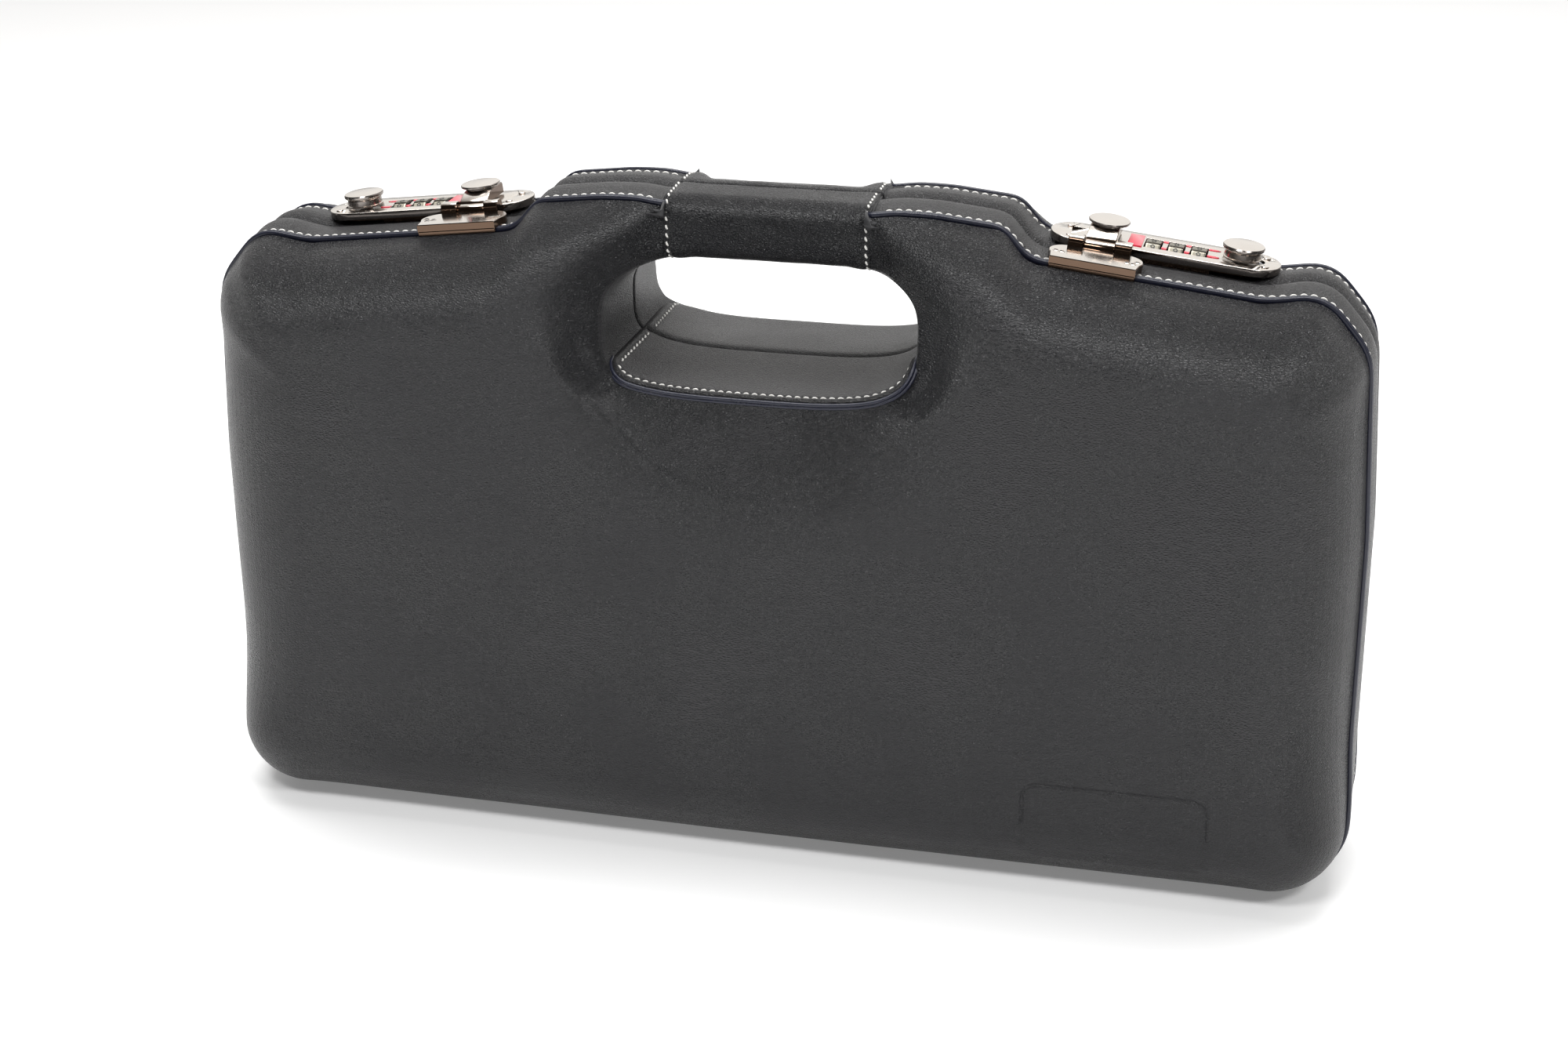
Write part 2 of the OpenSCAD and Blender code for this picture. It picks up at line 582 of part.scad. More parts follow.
rear_shell();
front_shell();
rear_grip();
front_grip();
rear_leather();
front_leather();
rear_rim_band();
front_rim_band();
rear_welt();
front_welt();
rear_handle_wrap();
front_handle_wrap();
rear_hole_floor();
front_hole_floor();
chip_tray();
lid_pad();
chip_tray_dividers();
lid_pad_dividers();
hinge_leaf(-1, 0);  // left_hinge_rear_leaf
hinge_leaf(1, 0);  // right_hinge_rear_leaf
front_leaf(-1);  // left_hinge_front_leaf
front_leaf(1);  // right_hinge_front_leaf
hinge_pin(-1);  // left_hinge_pin
hinge_pin(1);  // right_hinge_pin
hinge_screws();  // rear_hinge_screws
mirror([0, 1, 0]) hinge_screws();  // front_hinge_screws
hasp_bracket(-1);  // left_hasp_bracket
hasp_bracket(1);  // right_hasp_bracket
hasp_pin(-1);  // left_hasp_pin
hasp_pin(1);  // right_hasp_pin
hasp(-1);  // left_hasp
hasp(1);  // right_hasp
hasp_disc(-1);  // left_hasp_disc
hasp_disc(1);  // right_hasp_disc
bracket_rivets();
lock_base(-1);  // left_lock_base
lock_base(1);  // right_lock_base
lock_cover(-1);  // left_lock_cover
lock_cover(1);  // right_lock_cover
enamel(-1);  // left_enamel
enamel(1);  // right_enamel
lock_rivets();
dial_shaft(-1);  // left_dial_shaft
dial_shaft(1);  // right_dial_shaft
dial(-1, 0);  // left_dial_inner
dial(-1, 1);  // left_dial_middle
dial(-1, 2);  // left_dial_outer
dial(1, 0);  // right_dial_inner
dial(1, 1);  // right_dial_middle
dial(1, 2);  // right_dial_outer
knob(-1);  // left_knob
knob(1);  // right_knob
bolt(-1);  // left_bolt
bolt(1);  // right_bolt
bolt_spring(-1);  // left_bolt_spring
bolt_spring(1);  // right_bolt_spring
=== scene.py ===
import json
import math

import bmesh
import bpy
import mathutils
import numpy as np
from mathutils import Matrix, Vector, noise

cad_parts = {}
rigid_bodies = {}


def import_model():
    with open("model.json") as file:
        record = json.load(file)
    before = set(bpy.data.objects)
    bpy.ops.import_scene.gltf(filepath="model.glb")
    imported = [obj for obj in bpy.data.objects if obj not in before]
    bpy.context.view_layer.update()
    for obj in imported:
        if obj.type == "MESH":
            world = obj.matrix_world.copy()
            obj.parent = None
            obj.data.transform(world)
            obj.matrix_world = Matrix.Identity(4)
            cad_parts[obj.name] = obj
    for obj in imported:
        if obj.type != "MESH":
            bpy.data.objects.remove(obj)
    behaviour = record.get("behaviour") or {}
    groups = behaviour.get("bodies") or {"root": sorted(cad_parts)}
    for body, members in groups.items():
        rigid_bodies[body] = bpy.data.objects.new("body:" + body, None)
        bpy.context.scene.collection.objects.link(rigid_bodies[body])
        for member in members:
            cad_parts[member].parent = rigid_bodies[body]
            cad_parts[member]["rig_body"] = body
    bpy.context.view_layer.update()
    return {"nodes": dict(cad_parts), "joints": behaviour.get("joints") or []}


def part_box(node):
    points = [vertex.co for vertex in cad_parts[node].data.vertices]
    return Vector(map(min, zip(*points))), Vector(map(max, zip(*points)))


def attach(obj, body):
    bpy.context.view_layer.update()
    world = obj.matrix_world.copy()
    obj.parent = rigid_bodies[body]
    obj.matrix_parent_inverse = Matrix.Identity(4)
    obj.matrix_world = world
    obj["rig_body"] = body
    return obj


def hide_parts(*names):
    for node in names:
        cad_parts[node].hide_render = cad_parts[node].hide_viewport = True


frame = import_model()

# Lengths in this script are millimetres until a mesh is made. X is the width, Z is up, and
# "depth" is the distance from the parting plane, which is -Y on the front half.
MM = 0.001


# ---------------------------------------------------------------- camera, light and floor

CAMERA_AT = (0.2119, -0.8154, 0.4615)
CAMERA_AZIMUTH = math.radians(14.55)
CAMERA_ELEVATION = math.radians(22.618)
CAMERA_ROLL = math.radians(-0.695)
CAMERA_LENS = 59.59


def make_camera():
    """Camera in front of the case, a little to its right, looking down on it."""
    a, e, r = CAMERA_AZIMUTH, CAMERA_ELEVATION, CAMERA_ROLL
    ahead = Vector((-math.sin(a) * math.cos(e), math.cos(a) * math.cos(e), -math.sin(e)))
    right = Vector((math.cos(a), math.sin(a), 0))
    up = right.cross(ahead)
    x = math.cos(r) * right + math.sin(r) * up
    y = -math.sin(r) * right + math.cos(r) * up
    turn = Matrix((x, y, -ahead)).transposed().to_4x4()
    data = bpy.data.cameras.new("camera")
    data.lens = CAMERA_LENS
    data.sensor_width = 36
    data.clip_end = 100
    camera = bpy.data.objects.new("camera", data)
    camera.matrix_world = Matrix.Translation(CAMERA_AT) @ turn
    bpy.context.scene.collection.objects.link(camera)
    bpy.context.scene.camera = camera


def area_light(name, at, target, size, power):
    """Soft box at a point, turned towards a target."""
    data = bpy.data.lights.new(name, "AREA")
    data.shape = "RECTANGLE"
    data.size, data.size_y = size
    data.energy = power
    light = bpy.data.objects.new(name, data)
    light.location = at
    light.rotation_mode = "QUATERNION"
    light.rotation_quaternion = (Vector(target) - Vector(at)).to_track_quat("-Z", "Y")
    bpy.context.scene.collection.objects.link(light)


def studio_world():
    """Surroundings that are white above and behind the case and dark behind the camera."""
    m = Maker(bpy.data.worlds.new("studio"), "Background")
    behind = m.vector_math("DOT_PRODUCT", m.coords.outputs["Generated"], (0.03, 0.80, 0.60))["Value"]
    m.set(Strength=m.ramp(behind, 0.2, 0.92, 0.05, 0.95, "SMOOTHSTEP"), Color=(1, 0.985, 0.965, 1))
    bpy.context.scene.world = m.data


def make_stage():
    """Pale floor, studio surroundings, a large soft box overhead and two weak ones in front."""
    bpy.ops.mesh.primitive_plane_add(size=60, location=(0, 0, 0))
    floor = bpy.context.object
    floor.name = "floor"
    floor.data.materials.append(plain_material(
        "pale_floor", (0.93, 0.93, 0.93), 0.9, Emission_Color=(1, 1, 1, 1), Emission_Strength=0.2))
    studio_world()
    area_light("key", (-0.15, -0.95, 1.45), (0, 0, 0.15), (0.55, 0.25), 9)
    area_light("right_box", (0.95, -0.85, 1.35), (0, 0, 0.15), (0.45, 0.3), 10)
    area_light("overhead", (-0.1, 0.3, 1.6), (0, 0, 0.1), (1.6, 0.6), 26)
    bpy.context.scene.view_settings.view_transform = "Standard"


# ---------------------------------------------------------------- materials


class Maker:
    """Short names for making the nodes of a material or a world."""

    def __init__(self, data, shader="Principled BSDF"):
        self.data = data
        data.use_nodes = True
        self.tree = data.node_tree
        self.shader = self.tree.nodes[shader]
        self.coords = self.node("ShaderNodeTexCoord")

    def put(self, socket, value):
        """Sets an input socket, or links another node's output to it."""
        if isinstance(value, bpy.types.NodeSocket):
            self.tree.links.new(value, socket)
        else:
            socket.default_value = value

    def node(self, kind, inputs=None, **values):
        made = self.tree.nodes.new(kind)
        for key, value in values.items():
            setattr(made, key, value)
        for key, value in (inputs or {}).items():
            self.put(made.inputs[key], value)
        return made

    def set(self, **values):
        for key, value in values.items():
            self.put(self.shader.inputs[key.replace("_", " ")], value)

    def place(self, scale):
        """Object coordinates, in metres, times a scale along each axis."""
        inputs = {"Scale": scale, "Vector": self.coords.outputs["Object"]}
        return self.node("ShaderNodeMapping", inputs).outputs["Vector"]

    def noise(self, vector, scale, detail=3.0, rough=0.55):
        inputs = {"Scale": scale, "Detail": detail, "Roughness": rough, "Vector": vector}
        return self.node("ShaderNodeTexNoise", inputs).outputs["Fac"]

    def cells(self, vector, scale, wide):
        """Rounded cells: 0 in the creases between them, 1 from a width inwards."""
        inputs = {"Scale": scale, "Vector": vector}
        made = self.node("ShaderNodeTexVoronoi", inputs, feature="DISTANCE_TO_EDGE")
        return self.ramp(made.outputs["Distance"], 0.0, wide, 0.0, 1.0)

    def ramp(self, value, low, high, to_low, to_high, curve="LINEAR"):
        """Value from low..high mapped to to_low..to_high and held at the ends."""
        inputs = {"Value": value, "From Min": low, "From Max": high, "To Min": to_low, "To Max": to_high}
        return self.node("ShaderNodeMapRange", inputs, interpolation_type=curve).outputs["Result"]

    def math(self, operation, a, b=0.0):
        return self.node("ShaderNodeMath", {0: a, 1: b}, operation=operation).outputs["Value"]

    def total(self, a, share_a, b, share_b):
        return self.math("ADD", self.math("MULTIPLY", a, share_a), self.math("MULTIPLY", b, share_b))

    def vector_math(self, operation, *inputs):
        return self.node("ShaderNodeVectorMath", dict(enumerate(inputs)), operation=operation).outputs

    def facing(self, axis):
        """How far the surface faces along an axis."""
        return self.node("ShaderNodeSeparateXYZ", {"Vector": self.coords.outputs["Normal"]}).outputs[axis]

    def leather_zones(self):
        """Grain depth: calm on flat upright leather, stronger round the hand hole and where it curves."""
        place, hole_middle = self.coords.outputs["Object"], 0.195
        apart = self.vector_math("MULTIPLY_ADD", place, (1, 0, 1), (0, 0, -hole_middle))
        distance = self.vector_math("LENGTH", apart["Vector"])["Value"]
        near = self.ramp(distance, 0.05, 0.08, 0.7, 0.0)
        bent = self.ramp(self.math("ABSOLUTE", self.facing("Y")), 0.8, 0.98, 1.0, 0.0)
        return self.ramp(self.math("MAXIMUM", near, bent), 0.0, 1.0, 0.35, 1.0)

    def color_between(self, factor, dark, light):
        """Mix of two colors, each an (r, g, b) or another node's output."""
        a, b = ((*color, 1) if isinstance(color, tuple) else color for color in (dark, light))
        inputs = {"Factor": factor, "A": a, "B": b}
        return self.node("ShaderNodeMix", inputs, data_type="RGBA").outputs["Result"]

    def bump(self, height, strength, distance, below=None):
        inputs = {"Height": height, "Strength": strength, "Distance": distance}
        if below is not None:
            inputs["Normal"] = below
        return self.node("ShaderNodeBump", inputs).outputs["Normal"]


def plain_material(name, color, roughness, **more):
    m = Maker(bpy.data.materials.new(name))
    m.set(Base_Color=(*color, 1), Roughness=roughness, **more)
    return m.data


def leather(name, dark, light, cell, strength, rough_low, rough_high):
    """Pebbled leather: rounded cells about as wide as cell (mm) with fine creases."""
    m = Maker(bpy.data.materials.new(name))
    stretched = m.place((0.72, 1, 1.15))
    wobble = m.node("ShaderNodeTexNoise", {"Scale": 420 / cell, "Vector": stretched}).outputs["Color"]
    shifted = m.vector_math("MULTIPLY_ADD", wobble, (0.0011 * cell,) * 3, stretched)["Vector"]
    pebble = m.cells(shifted, 1000 / cell, 0.26)
    fine = m.cells(shifted, 2700 / cell, 0.3)
    patches = m.noise(m.place((1, 1, 1)), 17, 3, 0.6)
    folds = m.noise(m.place((0.35, 1, 1.6)), 55, 2, 0.5)
    depth = m.math("MULTIPLY", m.ramp(patches, 0.35, 0.7, 0.5, 1.0), m.leather_zones())
    grain = m.bump(m.math("MULTIPLY", m.total(pebble, 1, fine, 0.45), depth), strength, 0.00045)
    m.set(Normal=m.bump(folds, 0.3, 0.0012, grain),
          Base_Color=m.color_between(m.total(patches, 0.7, pebble, 0.3), dark, light),
          Roughness=m.ramp(m.total(patches, 1, pebble, -0.12), 0.25, 0.7, rough_low, rough_high),
          Specular_IOR_Level=0.5)
    return m.data


def thread(name, dark, light):
    """Waxed thread with the twist of its plies."""
    m = Maker(bpy.data.materials.new(name))
    vector = m.place((1, 1, 1))
    wave = m.node("ShaderNodeTexWave", {"Scale": 1100, "Vector": vector},
                  wave_type="BANDS", bands_direction="DIAGONAL")
    m.set(Base_Color=m.color_between(m.noise(vector, 160, 3), dark, light),
          Normal=m.bump(wave.outputs["Fac"], 0.35, 0.0001), Roughness=0.62, Sheen_Weight=0.2)
    return m.data


def metal(name, color, painted_reflection_color, roughness):
    """Plated metal with polishing marks; its upright faces get a dark base colour as a painted reflection of
    a dark room, while faces turned up keep the bright plating colour.
    """
    m = Maker(bpy.data.materials.new(name))
    smear = m.noise(m.place((1, 1, 1)), 140, 4, 0.65)
    lines = m.noise(m.place((1, 6, 6)), 900, 2, 0.5)
    # Painted reflection: faces turned up get the bright plating colour, upright faces the dark painted
    # reflection colour.
    painted_reflection_mask = m.ramp(m.total(m.facing("Z"), 1, smear, 0.1), 0.75, 0.97, 0.0, 1.0)
    tone = m.color_between(smear, tuple(c * 0.9 for c in color), color)
    m.set(Base_Color=m.color_between(painted_reflection_mask, painted_reflection_color, tone),
          Roughness=m.ramp(smear, 0.35, 0.7, roughness, roughness + 0.06),
          Normal=m.bump(lines, 0.04, 0.00005), Metallic=1.0)
    return m.data


def flock(name, dark, light):
    """Short flocked pile: fine fuzz with brushed patches."""
    m = Maker(bpy.data.materials.new(name))
    brushed = m.noise(m.place((0.5, 1, 1)), 45, 4, 0.6)
    fuzz = m.noise(m.place((1, 1, 1)), 2600, 2, 0.7)
    m.set(Base_Color=m.color_between(m.total(brushed, 0.6, fuzz, 0.4), dark, light),
          Normal=m.bump(fuzz, 0.5, 0.0003), Roughness=0.95, Sheen_Weight=0.7, Sheen_Roughness=0.4,
          Specular_IOR_Level=0.2)
    return m.data


def enamel(name, dark, light):
    """Gloss enamel, slightly uneven."""
    m = Maker(bpy.data.materials.new(name))
    ripple = m.noise(m.place((1, 1, 1)), 260, 2)
    m.set(Base_Color=m.color_between(ripple, dark, light), Normal=m.bump(ripple, 0.1, 0.0001),
          Roughness=0.14, Coat_Weight=0.6, Coat_Roughness=0.05)
    return m.data


def moulded(name, dark, light):
    """Matt moulded plastic with spark texture."""
    m = Maker(bpy.data.materials.new(name))
    vector = m.place((1, 1, 1))
    m.set(Base_Color=m.color_between(m.noise(vector, 30), dark, light),
          Normal=m.bump(m.noise(vector, 1500, 3, 0.6), 0.3, 0.00015), Roughness=0.55)
    return m.data


# What makes each material, with its colors and other settings
LOOKS = {
    "grained_leather": (leather, (0.005, 0.005, 0.0062), (0.012, 0.012, 0.0142), 0.95, 1.0, 0.24, 0.34),
    "smooth_leather": (leather, (0.010, 0.010, 0.011), (0.024, 0.023, 0.024), 0.85, 0.7, 0.27, 0.38),
    "welt_edge": (leather, (0.006, 0.007, 0.016), (0.013, 0.015, 0.034), 0.6, 0.15, 0.26, 0.36),
    "white_thread": (thread, (0.62, 0.60, 0.56), (0.9, 0.89, 0.86)),
    # For metal, the second colour is a painted dark reflection that upright faces get in place of the plating
    # colour.
    "polished_nickel": (metal, (0.88, 0.83, 0.77), (0.13, 0.085, 0.06), 0.10),
    "plate_nickel": (metal, (0.88, 0.83, 0.77), (0.3, 0.27, 0.25), 0.16),
    "dial_metal": (metal, (0.30, 0.28, 0.23), (0.055, 0.05, 0.042), 0.24),
    "red_enamel": (enamel, (0.62, 0.02, 0.05), (0.78, 0.04, 0.08)),
    "velvet_lining": (flock, (0.05, 0.004, 0.008), (0.16, 0.012, 0.022)),
    "moulded_shell": (moulded, (0.02, 0.02, 0.022), (0.032, 0.032, 0.034)),
    "digit_black": (plain_material, (0.012, 0.012, 0.012), 0.5),
}
MATERIALS = {name: make(name, *settings) for name, (make, *settings) in LOOKS.items()}


# ---------------------------------------------------------------- mesh helpers


def edit_mesh(mesh, change):
    """Runs one bmesh change on a mesh."""
    work = bmesh.new()
    work.from_mesh(mesh)
    change(work)
    work.to_mesh(mesh)
    work.free()


def add_object(name, verts, faces, slot, body, smooth=True, material=None, closed=False):
    """New mesh piece from millimetre vertices, riding on a CAD body."""
    mesh = bpy.data.meshes.new(name)
    mesh.from_pydata((np.asarray(verts) * MM).tolist(), [], [tuple(f) for f in faces])
    mesh.validate()
    if closed:
        edit_mesh(mesh, lambda work: bmesh.ops.recalc_face_normals(work, faces=work.faces))
    mesh.update()
    if smooth:
        mesh.shade_smooth()
    obj = bpy.data.objects.new(name, mesh)
    bpy.context.scene.collection.objects.link(obj)
    mesh.materials.append(MATERIALS[material or slot])
    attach(obj, body)
    return obj


def curve_mesh(curve):
    """Vertices and faces of a curve, which is removed."""
    obj = bpy.data.objects.new(curve.name, curve)
    bpy.context.scene.collection.objects.link(obj)
    bpy.context.view_layer.update()
    mesh = obj.to_mesh()
    verts, faces = np.array([v.co for v in mesh.vertices]), [tuple(p.vertices) for p in mesh.polygons]
    obj.to_mesh_clear()
    bpy.data.objects.remove(obj)
    bpy.data.curves.remove(curve)
    return verts, faces


def joined(parts):
    """Several meshes, each its vertices and faces, as one."""
    verts, faces = [], []
    for more, polygons in parts:
        faces += [tuple(len(verts) + k for k in p) for p in polygons]
        verts += list(more)
    return verts, faces


def grid_faces(rows, columns, closed_rows=False, closed_columns=False, flip=False, first=0):
    """Quads of a grid of rows times columns, numbered row by row."""
    faces = []
    for i in range(rows if closed_rows else rows - 1):
        row, after = first + i * columns, first + (i + 1) % rows * columns
        for j in range(columns if closed_columns else columns - 1):
            k = (j + 1) % columns
            corners = (row + j, row + k, after + k, after + j)
            faces.append((corners[0], *corners[:0:-1]) if flip else corners)
    return faces


def tube_faces(rows, columns, first=0):
    """Quads round a tube of rows times columns, and its two ends."""
    last = first + (rows - 1) * columns
    ends = [tuple(range(k, k + columns)) for k in (first, last)]
    return grid_faces(rows, columns, closed_columns=True, first=first) + ends


def solidify(obj, thickness):
    """Gives a sheet its thickness, on the side away from its outer face."""
    modifier = obj.modifiers.new("thickness", "SOLIDIFY")
    modifier.thickness = thickness * MM
    modifier.offset = -1
    modifier.use_rim = True


def blur(values, width, wrap=False):
    """Gaussian blur along the first axis; width is in samples."""
    reach = int(width * 3) + 1
    weights = np.exp(-0.5 * (np.arange(-reach, reach + 1) / width) ** 2)
    weights /= weights.sum()
    pad = [(reach, reach)] + [(0, 0)] * (values.ndim - 1)
    padded = np.pad(values, pad, mode="wrap" if wrap else "reflect")
    return sum(w * padded[i:i + len(values)] for i, w in enumerate(weights))


def lookup(at, table):
    """Linear interpolation in a table of (place, value)."""
    table = sorted(table)
    return np.interp(at, [t[0] for t in table], [t[1] for t in table])


def smoothstep(low, high, value):
    t = np.clip((value - low) / (high - low), 0, 1)
    return t * t * (3 - 2 * t)


def quarter(t):
    """Height of a quarter circle of radius 1 at a distance from its foot, held at 1 beyond it."""
    return np.sqrt(np.maximum(0, 1 - (1 - np.minimum(1, t)) ** 2))


def at_depth(flat, depth):
    """Points (x, depth, z) from points (x, z) and their depths."""
    return np.stack([flat[..., 0], depth, flat[..., 1]], axis=-1)


# ---------------------------------------------------------------- outline of the case

band_low, band_high = (np.array(v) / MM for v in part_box("front_rim_band"))
leather_low = np.array(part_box("front_leather")[0]) / MM
HALF_W = band_high[0]
CROWN = band_high[2]
DEPTH = -leather_low[1]
BOTTOM = band_low[2]
BAND_W = -band_low[1]
HANDLE_DEPTH = 18.5
HOLE_W, HOLE_H, HOLE_Z = 53.5, 19.4, 190.6
HOLE_POWER = 0.55
WRAP_X = 35.6
UNDER_WRAP_Z = 196
HINGE_Z = 2.1
HINGE_RELIEF = 5.0
STEP = 2.0

# Corners of the right half of the outline: x, z and corner radius, from the top middle
CORNERS = [
    (0, CROWN - 1.0, 0), (34.6, CROWN - 0.8, 20), (44, CROWN + 0.6, 20), (56, CROWN + 0.4, 30),
    (79, CROWN - 2.2, 7), (87, CROWN - 13.5, 9), (162, CROWN - 22.2, 13),
    (HALF_W - 20, CROWN - 17.6, 15), (HALF_W - 3.2, CROWN - 37.6, 22), (HALF_W, 130, 150),
    (HALF_W, BOTTOM, 25), (0, BOTTOM, 0),
]


def round_corners(corners, step=3.0):
    """Polyline through corners (x, y, radius), each rounded by an arc of that radius."""
    points = [np.array(corners[0][:2], float)]
    for before, corner, after in zip(corners, corners[1:], corners[2:]):
        p = np.array(corner[:2], float)
        u = np.array(before[:2]) - p
        v = np.array(after[:2]) - p
        u, v = u / np.linalg.norm(u), v / np.linalg.norm(v)
        half = math.acos(max(-1, min(1, float(u @ v)))) / 2
        middle = (u + v) / np.linalg.norm(u + v)
        centre = p + middle * corner[2] / math.sin(half)
        start = p + u * corner[2] / math.tan(half) - centre
        turn = math.pi - 2 * half
        way = -1 if u[0] * v[1] - u[1] * v[0] > 0 else 1
        count = max(2, int(math.degrees(turn) / step) + 1)
        for g in np.linspace(0, way * turn, count + 1):
            c, s = math.cos(g), math.sin(g)
            points.append(centre + [start[0] * c - start[1] * s, start[0] * s + start[1] * c])
    points.append(np.array(corners[-1][:2], float))
    return np.array(points)


def along(points):
    """Running length at each point of a polyline."""
    return np.concatenate([[0], np.cumsum(np.linalg.norm(np.diff(points, axis=0), axis=1))])


def point_at(points, run, at):
    """Point of a polyline at a running length."""
    return np.stack([np.interp(at, run, column) for column in points.T], axis=-1)


def resample(points, count):
    """Polyline with count points at equal distances."""
    run = along(points)
    return point_at(points, run, np.linspace(0, run[-1], count))


def unit(v):
    return v / np.maximum(np.linalg.norm(v, axis=-1, keepdims=True), 1e-9)


half_outline = round_corners(CORNERS)
HALF_N = int(round(along(half_outline)[-1] / STEP))
half_outline = resample(half_outline, HALF_N + 1)
RUN = along(half_outline)


def mirrored(half, sign):
    """Values of the right half continued over the left half; sign is -1 for x values."""
    return np.concatenate([half, sign * half[-2:0:-1]])


ring = np.stack([mirrored(half_outline[:, 0], -1), mirrored(half_outline[:, 1], 1)], axis=1)
ring = blur(ring, 1.2, True)
RING_N = len(ring)
tangent = unit(np.roll(ring, -1, axis=0) - np.roll(ring, 1, axis=0))
ring_in = blur(np.stack([-tangent[:, 1], tangent[:, 0]], axis=1), 1.0, True)
MIDDLE = (0, CROWN / 2)
ring_in = unit(np.where((ring_in * (MIDDLE - ring)).sum(1, keepdims=True) < 0, -ring_in, ring_in))


def seam_drop():
    """How far the seam lies below the crown of the padded band, at each half station."""
    x, z = half_outline.T
    crown = smoothstep(84, 76, x) + smoothstep(160, 172, x) * smoothstep(30, 60, z)
    return blur(1.25 * np.where(z > 120, crown, smoothstep(30, 60, z)), 2)


half_drop = seam_drop()
DROP = mirrored(half_drop, 1)


def sweep(section, stations, depth_shift=None):
    """Vertices (stations, section, 3) of a section (depth, inset) swept round the outline.

    depth_shift gives, for each station, the least depth that the section may have."""
    p, n = ring[stations], ring_in[stations]
    section = np.asarray(section, float)
    crown = smoothstep(5, 15.5, section[:, 0]) + 0.55 * smoothstep(5, 0, section[:, 0])
    inset = section[None, :, 1] + DROP[stations][:, None] * crown[None, :]
    depth = np.repeat(section[None, :, 0], len(stations), axis=0)
    if depth_shift is not None:
        share = np.clip((section[:, 0] - 12) / (section[0, 0] - 12), 0, 1)
        depth = depth + share[None, :] * depth_shift[:, None]
    return at_depth(p[:, None, :] + n[:, None, :] * inset[:, :, None], depth)


def on_half(points, half):
    """Points (x, depth, z) placed on the front or the rear half."""
    return points * [1, -1 if half == "front" else 1, 1]


HALVES = (("front", "front_half"), ("rear", "rear_half"))


# ---------------------------------------------------------------- rim bands, welts, seams

BAND_SECTION = [
    (0.15, 3.6), (0.15, 2.5), (0.35, 1.9), (0.9, 1.25), (1.8, 0.72), (3.0, 0.32), (4.6, 0.02),
    (6.6, -0.16), (9, -0.18), (11.2, -0.1), (12.8, 0.02), (13.8, 0.18), (14.5, 0.34), (15.1, 0.34),
    (15.7, 0.16), (16.2, 0.02), (16.6, 0.08), (16.85, 0.35), (16.9, 0.9), (16.9, 1.9),
]
SEAM_DEPTH = 14.8
WELT_DEPTH = BAND_W + 0.05
STITCH_PITCH = 3.3


def hinge_shift(stations):
    """How far the band is cut back from the parting plane beside the hinge axis."""
    height = ring[stations, 1] - HINGE_Z + 0.8
    return np.sqrt(np.maximum(0, (HINGE_RELIEF + 0.2) ** 2 - height**2))


def stations_outside(x_limit):
    """Stations from the right end of the handle round the case to its left end."""
    first = int(np.argmax((half_outline[:, 0] > x_limit) & (half_outline[:, 1] > 200)))
    return np.arange(first, RING_N - first + 1)


def add_swept(name, section, half, body, slot, replaced, depth_shift=None):
    """Closed piece with one section, from one end of the handle round to the other."""
    stations = stations_outside(WRAP_X - 2.5)
    shift = depth_shift(stations) if depth_shift else None
    verts = on_half(sweep(section, stations, shift).reshape(-1, 3), half)
    faces = tube_faces(len(stations), len(section))
    obj = add_object(f"{half}_{name}", verts, faces, slot, body, closed=True)
    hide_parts(f"{half}_{replaced}")


def make_rim_band(half, body):
    """Padded band with a turned edge."""
    add_swept("rim_band_leather", BAND_SECTION, half, body, "smooth_leather", "rim_band", hinge_shift)


def welt_section():
    """Two small piping ridges side by side on a flat base."""
    points = [(WELT_DEPTH, 1.7), (WELT_DEPTH, 0.1)]
    for centre, radius, low in ((0.62, 0.52, 0.0), (1.55, 0.46, 0.12)):
        for angle in np.linspace(160, 20, 7):
            a = math.radians(angle)
            points.append((WELT_DEPTH + centre + radius * math.cos(a), low - radius * math.sin(a)))
    points += [(WELT_DEPTH + 2.05, 0.2), (WELT_DEPTH + 2.05, 1.7)]
    return points


def make_welt(half, body):
    """Piped welt in the seam."""
    add_swept("welt_piping", welt_section(), half, body, "welt_edge", "welt")


def stitch(centre, way, up, length):
    """One bent stitch along a way, lifted in its middle."""
    sides, parts, radius = 8, 7, 0.38
    side = unit(np.cross(up, way))
    verts = []
    for t in np.linspace(-1, 1, parts):
        r = radius * (1 - 0.55 * abs(t) ** 4)
        middle = centre + way * t * length / 2 + up * radius * (0.55 - 1.15 * t * t)
        for a in np.linspace(0, 2 * math.pi, sides, endpoint=False):
            verts.append(middle + r * (side * math.cos(a) + up * 0.85 * math.sin(a)))
    return verts, tube_faces(parts, sides)


def stitch_row(path, normals, pitch, slant):
    """Vertices and faces of a row of stitches along a path (points, 3)."""
    run = along(path)
    count = max(1, int(run[-1] / pitch))
    spare = (run[-1] - count * pitch) / 2
    stitches = []
    for k in range(count):
        at = spare + (k + 0.5) * pitch
        up = unit(point_at(normals, run, at))
        way = unit(point_at(path, run, at + 0.8) - point_at(path, run, at - 0.8))
        way = unit(way + unit(np.cross(up, way)) * (slant + 0.05 * math.sin(5.1 * k)))
        stitches.append(stitch(point_at(path, run, at), way, up, pitch * (0.78 - 0.3 * abs(slant))))
    return joined(stitches)


def add_stitches(name, rows, body):
    """One piece from several stitch rows, each (path, normals, pitch, slant)."""
    verts, faces = joined([stitch_row(*row) for row in rows])
    add_object(name, verts, faces, "white_thread", body, closed=True)


def make_seam_stitches(half, body):
    """Stitch row along the outer edge of the padded band."""
    stations = stations_outside(WRAP_X + 1.2)
    path = sweep([(SEAM_DEPTH, 0.3)], stations)[:, 0, :]
    normals = at_depth(-ring_in[stations], np.zeros(len(stations)))
    add_stitches(f"{half}_seam_stitches", [(on_half(path, half), normals, STITCH_PITCH, 0.1)], body)


# ---------------------------------------------------------------- face leather

